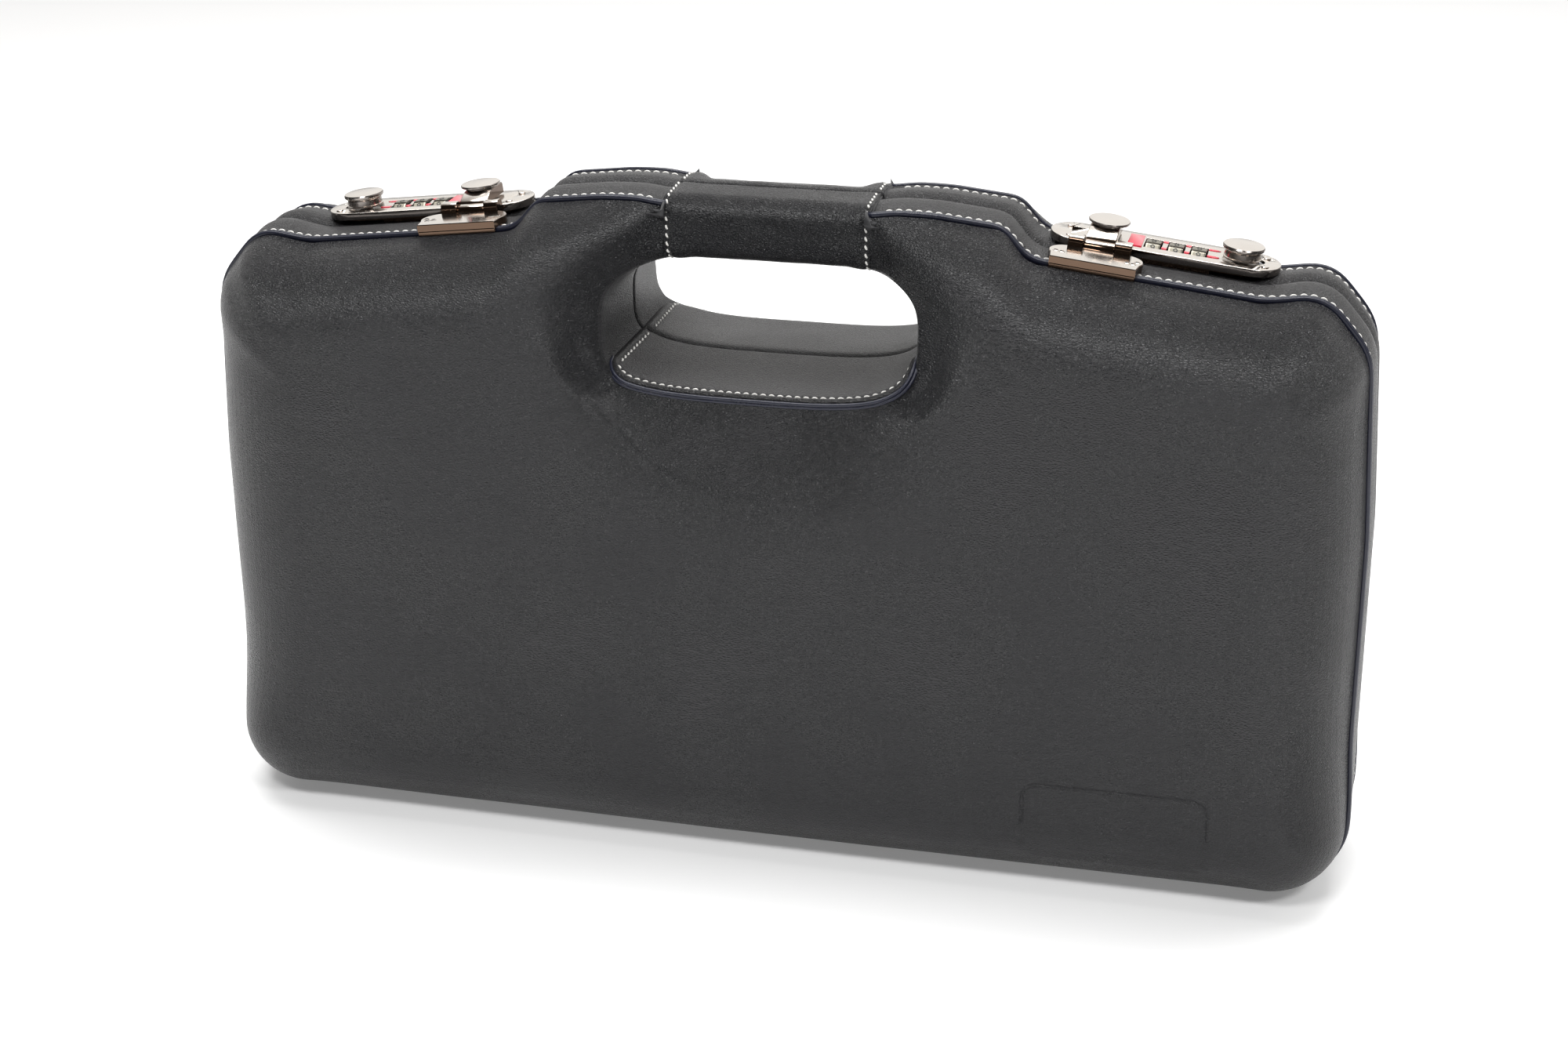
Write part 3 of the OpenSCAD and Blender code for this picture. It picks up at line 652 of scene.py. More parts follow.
SCOOP_Z, SCOOP_TOP = 195.0, 184.0
LIP_INSET = 1.0
LIP_DEPTH = BAND_W + 2.15
END_RUN = RUN[-1]


def half_table(table, width=3.5):
    """Table of (run, value) sampled at each station of the half outline, then softened."""
    return blur(lookup(RUN, table), width)


edge_radius = half_table([
    (0, 9), (36, 9), (60, 20), (85, 26), (168, 28), (200, 34), (240, 38),
    (END_RUN - 260, 36), (END_RUN - 215, 26), (END_RUN, 24)])
face_depth = half_table([
    (0, HANDLE_DEPTH - 1.2), (35, HANDLE_DEPTH - 0.8), (47, 26), (60, 38), (80, DEPTH - 2),
    (93, DEPTH), (END_RUN, DEPTH)], 3)


def hole_depth(angle):
    """Depth of the face where it turns into the hand hole."""
    return lookup(angle, [
        (-90, DEPTH - 3.4), (-50, DEPTH - 4.2), (-20, DEPTH - 8), (10, DEPTH - 11), (40, 27),
        (58, HANDLE_DEPTH), (68, HANDLE_DEPTH - 1.2), (90, HANDLE_DEPTH - 1.2)])


def hole_edge(angle):
    """Radius of the turn into the hole: crisp at the stitched lip, soft at the sides."""
    return lookup(angle, [(-90, 1.6), (-45, 1.8), (-22, 4.5), (0, 7), (90, 7)])


def hole_point(angle, out):
    """Point of the hand hole's outline at an angle in degrees, pushed out by some length."""
    c, s = np.cos(np.radians(angle)), np.sin(np.radians(angle))
    x = (HOLE_W + out) * np.sign(c) * np.abs(c) ** HOLE_POWER
    z = HOLE_Z + (HOLE_H + out) * np.sign(s) * np.abs(s) ** HOLE_POWER
    return np.stack([x, z], axis=-1)


def face_direction(p):
    """From an outline point towards the nearest point of an inner rectangle."""
    aim = np.array([min(p[0], HALF_W - 42), min(max(p[1], 40), 165)])
    return unit(aim - p)


ARC_N, TURN_N, WALL_N, HOLE_N = 15, 6, 7, 270
WALL_TAPER = 1.5
PARTING_R = 1.5
PARTING_GAP = 0.12


def edge_line(k):
    """Points (x, depth, z) of one station, from the welt over the rounded edge of the face."""
    n = directions[k]
    p = half_outline[k] + n * half_drop[k]
    r, centre_depth = edge_radius[k], face_depth[k] - edge_radius[k]
    a0 = math.asin(max(0.0, min(0.985, (LIP_DEPTH + 0.8 - centre_depth) / r)))
    tucked = [(1.6, LIP_DEPTH - 0.9), (0.9, LIP_DEPTH - 0.3), (0.25, LIP_DEPTH + 0.2)]
    turned = [(r * (math.cos(a0) - math.cos(a)), centre_depth + r * math.sin(a))
              for a in np.linspace(a0, math.pi / 2, ARC_N)]
    inset, depth = np.array(tucked + turned).T
    return at_depth(p + n * (LIP_INSET + inset)[:, None], depth)


def hole_ring():
    """Angles, points and outward directions at equal steps round the hand hole."""
    dense = np.linspace(-180, 180, 2881)
    curve = hole_point(dense, 0.0)
    run = along(curve)
    angles = np.interp(np.linspace(0, run[-1], HOLE_N, endpoint=False), run, dense)
    points = hole_point(angles, 0.0)
    way = blur(unit(np.roll(points, -1, axis=0) - np.roll(points, 1, axis=0)), 2, True)
    return angles, points, unit(np.stack([way[:, 1], -way[:, 0]], axis=1))


def fold_angle(angle):
    """Angle of the same place on the right half of the hole, from -90 to 90."""
    return np.where(angle > 90, 180 - angle, np.where(angle < -90, -180 - angle, angle))


def hole_lines():
    """Rows round the hole, each from the face over the hole's edge to the parting plane."""
    angles, q, away = hole_ring()
    right = fold_angle(angles)
    e, er = blur(hole_depth(right), 3, True), blur(hole_edge(right), 3, True)
    rows = []
    for b in np.linspace(0, math.pi / 2, TURN_N + 1):
        rows.append((er * (1 - math.sin(b)), e - er * (1 - math.cos(b))))
    for t in np.linspace(0, 1, WALL_N + 1)[1:]:
        rows.append((np.full(HOLE_N, -WALL_TAPER * t), (e - er) * (1 - t) + PARTING_R * t))
    for b in np.linspace(0, math.pi / 2, 4)[1:]:
        out = PARTING_R * (1 - math.cos(b)) - WALL_TAPER
        rows.append((np.full(HOLE_N, out), np.full(HOLE_N, PARTING_R * (1 - math.sin(b)) + PARTING_GAP)))
    return np.stack([at_depth(q + away * out[:, None], depth) for out, depth in rows], axis=1)


def inside_polygon(points, polygon):
    """Even-odd test of points against a closed polygon."""
    x, z = points[:, 0], points[:, 1]
    inside = np.zeros(len(points), bool)
    for (x0, z0), (x1, z1) in zip(polygon, np.roll(polygon, -1, axis=0)):
        if z0 != z1:
            inside ^= ((z0 > z) != (z1 > z)) & (x < x0 + (z - z0) / (z1 - z0) * (x1 - x0))
    return inside


def lattice(x0, x1, z0, z1, step):
    """Triangular lattice of points over a rectangle."""
    rows = []
    for i, z in enumerate(np.arange(z0, z1, step * math.sqrt(3) / 2)):
        x = np.arange(x0, x1, step) + (i % 2) * step / 2
        rows.append(np.stack([x, np.full(len(x), z)], axis=1))
    return np.concatenate(rows)


# Plain rounded rectangle pressed into the front leather: middle, half sizes and groove depth
PLAQUE_X, PLAQUE_Z = 125.0, 29.3
PLAQUE_W, PLAQUE_H, PLAQUE_R = 31.0, 13.3, 5.0
PLAQUE_GROOVE = 0.42


def plaque_distance(x, z):
    """Signed distance from the outline of the pressed rectangle, negative inside."""
    dx = np.abs(x - PLAQUE_X) - (PLAQUE_W - PLAQUE_R)
    dz = np.abs(z - PLAQUE_Z) - (PLAQUE_H - PLAQUE_R)
    outside = np.hypot(np.maximum(dx, 0), np.maximum(dz, 0))
    return outside + np.minimum(np.maximum(dx, dz), 0) - PLAQUE_R


def far_from(points, others, distance):
    """Points at least some distance away from every one of the others."""
    tree = mathutils.kdtree.KDTree(len(others))
    for i, (x, z) in enumerate(others):
        tree.insert((x, z, 0), i)
    tree.balance()
    return points[[tree.find((x, z, 0))[2] > distance for x, z in points]]


def fill_points(outer, inner):
    """Lattice points between the two rings: fine in the scoop and along the plaque."""
    coarse = lattice(-HALF_W, HALF_W, BOTTOM, CROWN, 2.4)
    radius = np.hypot(coarse[:, 0], coarse[:, 1] - SCOOP_Z)
    coarse = coarse[(radius > 74) & (np.abs(plaque_distance(*coarse.T)) > 2.2)]
    fine = lattice(-76, 76, 120, CROWN, 1.2)
    fine = fine[np.hypot(fine[:, 0], fine[:, 1] - SCOOP_Z) < 73]
    line = lattice(PLAQUE_X - 34, PLAQUE_X + 34, PLAQUE_Z - 17, PLAQUE_Z + 17, 0.55)
    line = line[np.abs(plaque_distance(*line.T)) < 1.7]
    points = np.concatenate([coarse, fine, line])
    points = points[inside_polygon(points, outer) & ~inside_polygon(points, inner)]
    return far_from(points, np.concatenate([outer, inner]), 0.8)


def fill_faces(outer, inner, points):
    """Triangles between the two rings through the given points."""
    every = np.concatenate([outer, inner, points])
    n, m = len(outer), len(inner)
    edges = [(i, (i + 1) % n) for i in range(n)] + [(n + i, n + (i + 1) % m) for i in range(m)]
    out = mathutils.geometry.delaunay_2d_cdt([Vector(p) for p in every], edges, [], 0, 1e-6)
    triangles = np.array([f for f in out[2] if len(f) == 3])
    source = np.array([o[0] if o else -1 for o in out[3]])
    triangles = source[triangles]
    triangles = triangles[(triangles >= 0).all(1)]
    middle = every[triangles].mean(1)
    return triangles[inside_polygon(middle, outer) & ~inside_polygon(middle, inner)]


def crease_radius(angle):
    """Distance of the scoop's crease from its middle, at an angle on the right half of the hole."""
    return lookup(angle, [(-90, 57.6), (-60, 58.6), (-40, 58.6), (-23, 62.5), (-11, 66.5), (5, 71), (90, 71)])


def scoop_depth(points, inner, inner_depth):
    """Depth of the face over the scoop, and how freely it may be relaxed there."""
    centre = np.array([0, SCOOP_Z])
    ring_way = inner - centre
    ring_angle = np.degrees(np.arctan2(ring_way[:, 1], ring_way[:, 0]))
    order = np.argsort(ring_angle)
    way = points - centre
    angle = np.degrees(np.arctan2(way[:, 1], way[:, 0]))
    wrap = np.concatenate([ring_angle[order] - 360, ring_angle[order], ring_angle[order] + 360])
    start = np.interp(angle, wrap, np.tile(np.linalg.norm(ring_way, axis=1)[order], 3))
    depth = np.interp(angle, wrap, np.tile(inner_depth[order], 3))
    right = fold_angle(angle)
    crease = np.maximum(crease_radius(right), start + 9.5)
    v = np.clip((crease - np.linalg.norm(way, axis=1)) / (crease - start), 0, 1)
    low = smoothstep(-12, -50, right)
    fall = low * (1 - (1 - v) ** 2.4) + (1 - low) * smoothstep(0, 1, v)
    free = smoothstep(-6, 12, right) * smoothstep(118, 92, np.abs(points[:, 0]))
    return DEPTH - (DEPTH - depth) * fall, free


def relax(verts, faces, share, rounds):
    """Moves vertices a share of the way to the mean of their neighbours, many times."""
    pairs = np.concatenate([np.stack([f, np.roll(f, -1)], 1) for f in faces])
    pairs = np.unique(np.concatenate([pairs, pairs[:, ::-1]]), axis=0)
    count = np.maximum(np.bincount(pairs[:, 0], minlength=len(verts)), 1)
    verts = verts.copy()
    for _ in range(rounds):
        mean = np.stack([np.bincount(pairs[:, 0], verts[pairs[:, 1], c], len(verts)) / count
                         for c in range(3)], axis=1)
        verts += share * (mean - verts)
    return verts


def face_surface():
    """Vertices (x, depth, z) and faces of the outer face of the leather."""
    edge = np.array([edge_line(k) for k in range(HALF_N + 1)])
    edge = np.concatenate([edge, edge[-2:0:-1] * [-1, 1, 1]])
    hole = hole_lines()
    outer, inner = edge[:, -1][:, [0, 2]], hole[:, 0][:, [0, 2]]
    points = fill_points(outer, inner)
    depth, free = scoop_depth(points, inner, hole[:, 0, 1])
    filled = at_depth(points, depth)
    e_n, h_n = edge.shape[0] * edge.shape[1], hole.shape[0] * hole.shape[1]
    verts = np.concatenate([edge.reshape(-1, 3), hole.reshape(-1, 3), filled])
    faces = grid_faces(RING_N, edge.shape[1], closed_rows=True)
    faces += grid_faces(HOLE_N, hole.shape[1], closed_rows=True, flip=True, first=e_n)
    place = np.concatenate([np.arange(RING_N) * edge.shape[1] + edge.shape[1] - 1,
                            e_n + np.arange(HOLE_N) * hole.shape[1], e_n + h_n + np.arange(len(points))])
    triangles = place[fill_faces(outer, inner, points)]
    a, b, c = (verts[triangles[:, k]][:, [0, 2]] for k in range(3))
    turn = np.cross(b - a, c - a)
    triangles[turn < 0] = triangles[turn < 0][:, ::-1]
    faces += [tuple(t) for t in triangles]
    share = np.concatenate([np.zeros(e_n + h_n), free])[:, None] * [0, 1, 0]
    verts = relax(verts, faces, share, 500)
    x, depth, z = verts.T
    soft = smoothstep(150, 100, np.abs(x)) * smoothstep(112, 130, z)
    soft *= smoothstep(LIP_DEPTH + 1, LIP_DEPTH + 7, depth)
    soft[e_n:e_n + h_n] *= (np.arange(h_n) % hole.shape[1] < 4)
    top = smoothstep(92, 80, np.abs(x)) * smoothstep(180, 192, z)
    verts = relax(verts, faces, (0.6 * soft * top)[:, None], 22)
    return relax(verts, faces, (0.4 * soft)[:, None], 5), faces


def surface_normals(verts, faces):
    """Outward normals at the vertices, weighted by face area."""
    triangles = np.array([(f[0], f[i], f[i + 1]) for f in faces for i in range(1, len(f) - 1)])
    a, b, c = (verts[triangles[:, k]] for k in range(3))
    normal = np.cross(b - a, c - a)
    total = np.stack([sum(np.bincount(triangles[:, k], normal[:, axis], len(verts)) for k in range(3))
                      for axis in range(3)], axis=1)
    return -unit(total)


directions = unit(blur(np.array([face_direction(p) for p in half_outline]), 3))
face_verts, face_faces = face_surface()
face_normals = surface_normals(face_verts, face_faces)


def wrinkles(points, seed):
    """Slow waves, folds and the puckers of the scoop, in millimetres of lift."""
    out = np.empty(len(points))
    for i, (x, y, z) in enumerate(points):
        slow = noise.noise(Vector((x / 46 + seed, y / 30, z / 34)))
        folds = noise.noise(Vector((x / 26 - seed, y / 12, z / 7)))
        out[i] = 0.12 * slow + 0.05 * folds
        radial = math.hypot(x, z - SCOOP_Z)
        if z < SCOOP_TOP and 20 < radial < 80:
            angle = math.atan2(x, SCOOP_Z - z)
            gather = noise.noise(Vector((angle * 22, radial / 22, seed)))
            gather *= float(smoothstep(20, 34, radial) * smoothstep(76, 58, radial))
            crease = float(crease_radius(abs(math.degrees(angle)) - 90))
            line = -0.42 * math.exp(-(((radial - crease + 0.6) / 1.1) ** 2))
            line += 0.3 * math.exp(-(((radial - crease - 2.4) / 2.2) ** 2))
            out[i] += 0.26 * gather + line * float(smoothstep(SCOOP_TOP, 168, z)) * (0.75 + 0.5 * gather)
    return out


def make_face(half, body):
    """Grained leather of one half, open under the handle wrap."""
    points, normals = face_verts.copy(), face_normals
    inner = smoothstep(LIP_DEPTH + 2, LIP_DEPTH + 9, points[:, 1])
    lift = inner * wrinkles(points, 3.0 if half == "front" else 8.0)
    if half == "front":
        edge = plaque_distance(points[:, 0], points[:, 2])
        lift -= PLAQUE_GROOVE * np.exp(-((edge / 0.6) ** 2)) + 0.12 * smoothstep(0.4, -0.8, edge)
    points = points + normals * lift[:, None]
    under = (np.abs(points[:, 0]) < WRAP_X - 3) & (points[:, 2] > UNDER_WRAP_Z)
    faces = [f for f in face_faces if not all(under[i] for i in f)]
    obj = add_object(f"{half}_face_leather", on_half(points, half),
                     faces if half == "front" else [f[::-1] for f in faces], "grained_leather", body)
    edit_mesh(obj.data, drop_loose)
    solidify(obj, 0.9)
    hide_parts(f"{half}_leather")


def drop_loose(work):
    """Removes vertices that no face uses."""
    bmesh.ops.delete(work, geom=[v for v in work.verts if not v.link_faces], context="VERTS")


# ---------------------------------------------------------------- handle wraps

HANDLE_TOP = CROWN + 1.0
HANDLE_LOW = HOLE_Z + HOLE_H - 1.1
WRAP_ROWS, WRAP_POINTS = 61, 84
WRAP_STITCH_X = WRAP_X - 1.7


def handle_section(slim, half):
    """Half section of the handle (depth, z), from the top groove round to the lower one."""
    top = HANDLE_TOP - 0.3 * slim
    low = HANDLE_LOW + 0.5 * slim
    front = HANDLE_DEPTH + 1.0 - 0.9 * slim
    corners = [(0.12, top - 4.0, 0), (0.12, top - 0.5, 1.0), (3.0, top, 4.0)]
    if half == "front":
        corners.append((front, top - 0.6, 6.4))
    else:
        corners += [(0.55 * front, top - 0.2 - 1.3 * slim, 9), (front, top - 2.2 - 3.8 * slim, 5)]
    corners += [(front - 0.5, low, 7.4), (0.12, low, 1.8), (0.12, low + 3.0, 0)]
    return resample(round_corners(corners, 8), WRAP_POINTS)


def wrap_surface(half):
    """Rows of the wrap's outer surface along X, with its normals."""
    spread = np.linspace(-1, 1, WRAP_ROWS)
    grid = []
    for x in np.sign(spread) * np.abs(spread) ** 0.8 * WRAP_X:
        section = handle_section(float(smoothstep(32, 25, abs(x))), half)
        grid.append([(x, depth, z) for depth, z in section])
    grid = np.array(grid)
    normals = unit(np.cross([1.0, 0, 0], np.gradient(grid, axis=1)))
    middle = np.array([0, 9, (HANDLE_TOP + HANDLE_LOW) / 2])
    out = np.sign(((grid - middle) * normals * [0, 1, 1]).sum(-1, keepdims=True))
    return grid, normals * np.where(out == 0, 1, out)


WRAPS = {half: wrap_surface(half) for half, _ in HALVES}
SHELL_GAP, SHELL_T = 1.1, 2.1


def thick_face():
    """Closed shell under the leather, open where the handle is."""
    count = len(face_verts)
    deep = np.minimum(SHELL_T + SHELL_GAP, np.maximum(1.2, face_verts[:, 1] - 0.4))
    verts = np.concatenate([face_verts - face_normals * SHELL_GAP, face_verts - face_normals * deep[:, None]])
    verts[:, 1] = np.maximum(verts[:, 1], 0.3)
    in_handle = (np.abs(face_verts[:, 0]) < WRAP_X - 2) & (face_verts[:, 2] > UNDER_WRAP_Z)
    outer = [f for f in face_faces if not any(in_handle[i] for i in f)]
    sides = {(a, b) for f in outer for a, b in zip(f, f[1:] + f[:1])}
    rim = [(b, a, count + a, count + b) for a, b in sorted(sides) if (b, a) not in sides]
    return verts, outer + [tuple(count + i for i in f[::-1]) for f in outer] + rim


def make_shell(half, body):
    """Moulded shell: a dome under the leather, a rim to the parting plane and the handle's core."""
    stations = stations_outside(WRAP_X - 2)
    section = [(0.35, 2.2), (LIP_DEPTH + 1.2, 2.2), (LIP_DEPTH + 1.2, 4.3), (0.35, 4.3)]
    rim = sweep(section, stations)
    rim[:, [0, 3], 1] += hinge_shift(stations)[:, None]
    wrap_grid, wrap_normals = WRAPS[half]
    core = (wrap_grid - wrap_normals * (SHELL_GAP + 0.05))[:, 2:-2]
    solids = [thick_face()] + [(grid.reshape(-1, 3), tube_faces(*grid.shape[:2])) for grid in (rim, core)]
    verts, faces = joined(solids)
    obj = add_object(f"{half}_moulded_shell", on_half(np.array(verts), half), faces, "moulded_shell",
                     body, closed=True)
    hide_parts(f"{half}_shell", f"{half}_grip")


def make_handle_wrap(half, body):
    """Leather sleeve with turned ends, drawn in along its stitch rows."""
    wrap_grid, wrap_normals = WRAPS[half]
    xs = np.abs(wrap_grid[..., 0])
    pull = 0.4 * np.exp(-(((xs - WRAP_STITCH_X) / 1.0) ** 2))
    end = 1.3 * smoothstep(WRAP_X - 0.7, WRAP_X, xs) ** 2
    seed = 1.0 if half == "front" else 6.0
    wave = np.array([[0.14 * noise.noise(Vector((x / 9 + seed, y / 6, z / 6))) for x, y, z in row]
                     for row in wrap_grid])
    points = wrap_grid + wrap_normals * (wave - pull - end)[..., None]
    verts = on_half(points.reshape(-1, 3), half)
    faces = grid_faces(WRAP_ROWS, WRAP_POINTS, flip=half == "rear")
    obj = add_object(f"{half}_handle_sleeve", verts, faces, "grained_leather", body)
    solidify(obj, 1.0)
    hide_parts(f"{half}_handle_wrap")
    rows = []
    for side in (-1, 1):
        row = int(np.argmin(np.abs(wrap_grid[:, 0, 0] - side * WRAP_STITCH_X)))
        path = points[row, 5:-5].copy()
        path[:, 0] = side * WRAP_STITCH_X
        rows.append((on_half(path, half), on_half(wrap_normals[row, 5:-5], half), 2.9, 0.38))
    add_stitches(f"{half}_handle_stitches", rows, body)


# ---------------------------------------------------------------- stitched floor of the hole

FLOOR_ENDS = (186.0, 178.4)
FLOOR_CORNER = 9.0
FLOOR_T = 1.5
FLOOR_STITCH = 2.4
REAR_ROLL = 7.0
FLOOR_ROWS, FLOOR_COLUMNS = 121, 34


def floor_path():
    """Angles of the hole from the right end of the floor panel round to its left end."""
    ends = [math.degrees(math.asin(((HOLE_Z - z) / HOLE_H) ** (1 / HOLE_POWER))) for z in FLOOR_ENDS]
    dense = np.linspace(-ends[0], -180 + ends[1], 721)
    points = hole_point(dense, 0.0)
    run = along(points)
    return np.interp(np.linspace(0, run[-1], FLOOR_ROWS), run, dense), run[-1]


def rolled_edge(from_lip, roll):
    """How far the panel has turned down at a distance from its lip."""
    return 0.8 * roll * (1 - quarter(from_lip / roll)) if roll else 0.0


def make_hole_floor(half, body):
    """Padded panel in the floor of the hand hole with a piped, stitched lip."""
    angles, length = floor_path()
    runs = np.linspace(0, length, FLOOR_ROWS)
    from_end = np.minimum(runs, length - runs)
    lips = hole_depth(fold_angle(angles)) - 0.4 - FLOOR_CORNER * (1 - quarter(from_end / FLOOR_CORNER))
    roll = REAR_ROLL if half == "rear" else 0.0
    shares = np.concatenate([[0], np.linspace(0.002, 0.05, 5), np.linspace(0.08, 0.9, 17),
                             np.linspace(0.92, 1, FLOOR_COLUMNS - 23)])
    across = (lips[:, None] - PARTING_GAP) * shares
    depth = PARTING_GAP + across
    from_lip = lips[:, None] - depth
    edge = np.minimum(from_end[:, None], from_lip)
    rise = FLOOR_T * quarter(edge / 0.9) - 2.2 * (1 - quarter(across / 3.2))
    rise -= 0.3 * np.exp(-(((edge - FLOOR_STITCH) / 0.7) ** 2)) + rolled_edge(from_lip, roll)
    taper = WALL_TAPER * (1 - np.minimum(1, depth / lips[:, None]))
    points = at_depth(hole_point(angles[:, None], -taper - rise), depth)
    faces = grid_faces(FLOOR_ROWS, FLOOR_COLUMNS, flip=half == "front")
    obj = add_object(f"{half}_hole_floor_panel", on_half(points.reshape(-1, 3), half), faces,
                     "smooth_leather", body)
    solidify(obj, 0.7)
    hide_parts(f"{half}_hole_floor")
    make_floor_piping(half, body, angles, lips, rolled_edge(0, roll))
    make_floor_stitches(half, body, angles, lips, runs, roll)


def make_floor_piping(half, body, angles, lips, drop):
    """Two thin piping ridges under the lip of the floor panel."""
    ridges = []
    for radius, outward, forward in ((0.62, 0.1, 0.35), (0.6, 1.15, 0.15)):
        centres = at_depth(hole_point(angles, outward + drop), lips + forward)
        way = unit(np.gradient(centres, axis=0))
        u = unit([0, 1.0, 0] - way * way[:, 1:2])
        v = np.cross(way, u)
        verts = [c + radius * (a * math.cos(turn) + b * math.sin(turn)) for c, a, b in zip(centres, u, v)
                 for turn in np.linspace(0, 2 * math.pi, 10, endpoint=False)]
        ridges.append((verts, tube_faces(len(angles), 10)))
    verts, faces = joined(ridges)
    add_object(f"{half}_hole_lip_piping", on_half(np.array(verts), half), faces, "welt_edge", body,
               closed=True)


def make_floor_stitches(half, body, angles, lips, runs, roll):
    """Stitches along the lip of the floor panel and up its two ends."""
    inset, lift = FLOOR_STITCH, 0.2 - FLOOR_T
    keep = (runs > inset) & (runs < runs[-1] - inset)
    flat = hole_point(angles[keep], lift + rolled_edge(inset, roll))
    lip_up = at_depth(flat - hole_point(angles[keep], 2), np.zeros(keep.sum()))
    rows = [(at_depth(flat, lips[keep] - inset), lip_up, 2.9, 0.12)]
    for pick, end in ((0, inset), (-1, runs[-1] - inset)):
        k = int(np.argmin(np.abs(runs - end)))
        depths = np.linspace(2.2, lips[k] - inset - 1.5, 20)
        row = at_depth(hole_point(angles[k], lift - WALL_TAPER * (1 - depths / lips[k])), depths)
        rows.append((row, np.repeat([lip_up[pick]], len(depths), axis=0), 2.9, 0.4))
    rows = [(on_half(path, half), on_half(up, half), *rest) for path, up, *rest in rows]
    add_stitches(f"{half}_hole_lip_stitches", rows, body)


# ---------------------------------------------------------------- metal parts of the frame


def dress_metal(name, material, bevel):
    """A CAD node keeps its shape and gets softened edges and a material."""
    obj = frame["nodes"][name]
    weld = obj.modifiers.new("weld", "WELD")
    weld.merge_threshold = 0.000005
    if bevel:
        modifier = obj.modifiers.new("edges", "BEVEL")
        modifier.width = bevel * MM
        modifier.segments = 2
        modifier.limit_method = "ANGLE"
        modifier.angle_limit = math.radians(38)
        modifier.harden_normals = True
    obj.data.shade_smooth()
    obj.data.materials.clear()
    obj.data.materials.append(MATERIALS[material])


def dress_frame():
    """Materials and edges for every CAD node that stays visible."""
    bevels = {"lock_base": 0.12, "bolt": 0.08, "hinge_rear_leaf": 0.15, "hinge_front_leaf": 0.15,
              "hasp_pin": 0, "hinge_pin": 0, "dial_shaft": 0, "bolt_spring": 0}
    for side in ("left", "right"):
        for kind, bevel in bevels.items():
            dress_metal(f"{side}_{kind}", "polished_nickel", bevel)
        dress_metal(f"{side}_lock_cover", "plate_nickel", 0.22)
        dress_metal(f"{side}_enamel", "red_enamel", 0.06)
    for name in ("lock_rivets", "rear_hinge_screws", "front_hinge_screws"):
        dress_metal(name, "polished_nickel", 0.06)


# ---------------------------------------------------------------- latches

LATCH_TILT = math.atan2(8.7, 75)
LATCH_X, LATCH_Z = 91.5, CROWN - 13.5 - 4.5 * math.tan(LATCH_TILT)
LOCK_Y = 9.0
KNOB_X, DISC_X = 61.6, 17.2
HASP_X = (11.5, 21.3)
PIN_Y, PIN_Z, BARREL_R = -3.4, 2.6, 2.5
BRACKET_HOLES = ((3.6, -13.6), (5.6, -14), (26.8, -14.2), (28.8, -14.8), (30, -12.4))

# Profiles of the turned pieces: radius and height
KNOB_PROFILE = [
    (0, 2.35), (2.3, 2.35), (2.3, 3.95), (6.1, 3.95), (6.3, 4.1), (6.3, 4.5), (6.0, 4.7), (6.0, 6.5),
    (5.7, 6.8), (5.7, 7.05), (6.7, 7.2), (6.95, 7.5), (6.95, 8.1), (6.7, 8.5), (6.2, 8.65), (0, 8.75)]
DISC_PROFILE = [
    (0, 7.9), (5.6, 7.9), (5.6, 8.35), (6.7, 8.5), (6.9, 8.7), (6.9, 9.1), (6.7, 9.35), (6.2, 9.45),
    (0, 9.5)]
RIVET_HEAD = [(0, 2.9), (1.1, 2.9), (1.1, 3.05), (0.95, 3.12), (0.75, 3.12), (0.7, 3.04), (0, 3.03)]
# Black disc in the hollow of each rivet head: painted shade standing for its hole.
RIVET_HOLE_SHADE = [(0, 2.95), (0.6, 2.95), (0.6, 3.06), (0, 3.07)]


def at_latch(points, side):
    """Points of a latch (X along its plate, Y to the rear, Z out of the recess) in the case's frame."""
    p = np.asarray(points, float)
    c, s = math.cos(LATCH_TILT), math.sin(LATCH_TILT)
    x = LATCH_X + p[:, 0] * c + p[:, 2] * s
    z = LATCH_Z - p[:, 0] * s + p[:, 2] * c
    return np.stack([x if side == "right" else -x, p[:, 1], z], axis=1)


def lathe(profile, x, y, steps=72):
    """Turned solid about an upright axis; the profile starts and ends on the axis."""
    verts = [(x, y, profile[0][1]), (x, y, profile[-1][1])]
    rows = profile[1:-1]
    for r, z in rows:
        verts += [(x + r * math.cos(a), y + r * math.sin(a), z)
                  for a in np.linspace(0, 2 * math.pi, steps, endpoint=False)]
    faces = grid_faces(len(rows), steps, closed_columns=True, first=2)
    for tip, row in ((0, 0), (1, len(rows) - 1)):
        faces += [(tip, 2 + row * steps + k, 2 + row * steps + (k + 1) % steps) for k in range(steps)]
    return verts, faces


def prism(outline, levels, place):
    """Solid from an outline repeated at levels (height, shrink towards its middle)."""
    outline = np.asarray(outline, float)
    middle = outline.mean(0)
    reach = np.abs(outline - middle).max(0)
    verts = [place(u, v, level) for level, shrink in levels
             for u, v in middle + (outline - middle) * (1 - shrink / reach)]
    return verts, tube_faces(len(levels), len(outline))


def bar(section, x0, x1, edge=0.25):
    """Solid with a (y, z) section and softened ends, drawn along X."""
    levels = [(x0, edge), (x0 + edge, 0), (x1 - edge, 0), (x1, edge)]
    return prism(section, levels, lambda u, v, x: (x, u, v))


def arc(cx, cy, r, start, end, count):
    """Points of an arc between two angles in degrees."""
    return [(cx + r * math.cos(a), cy + r * math.sin(a)) for a in np.radians(np.linspace(start, end, count))]


def crisp_edges(work):
    """Smooth shading with edges kept sharp from 28 degrees on."""
    for e in work.edges:
        e.smooth = len(e.link_faces) == 2 and e.calc_face_angle() < math.radians(28)
    for f in work.faces:
        f.smooth = True


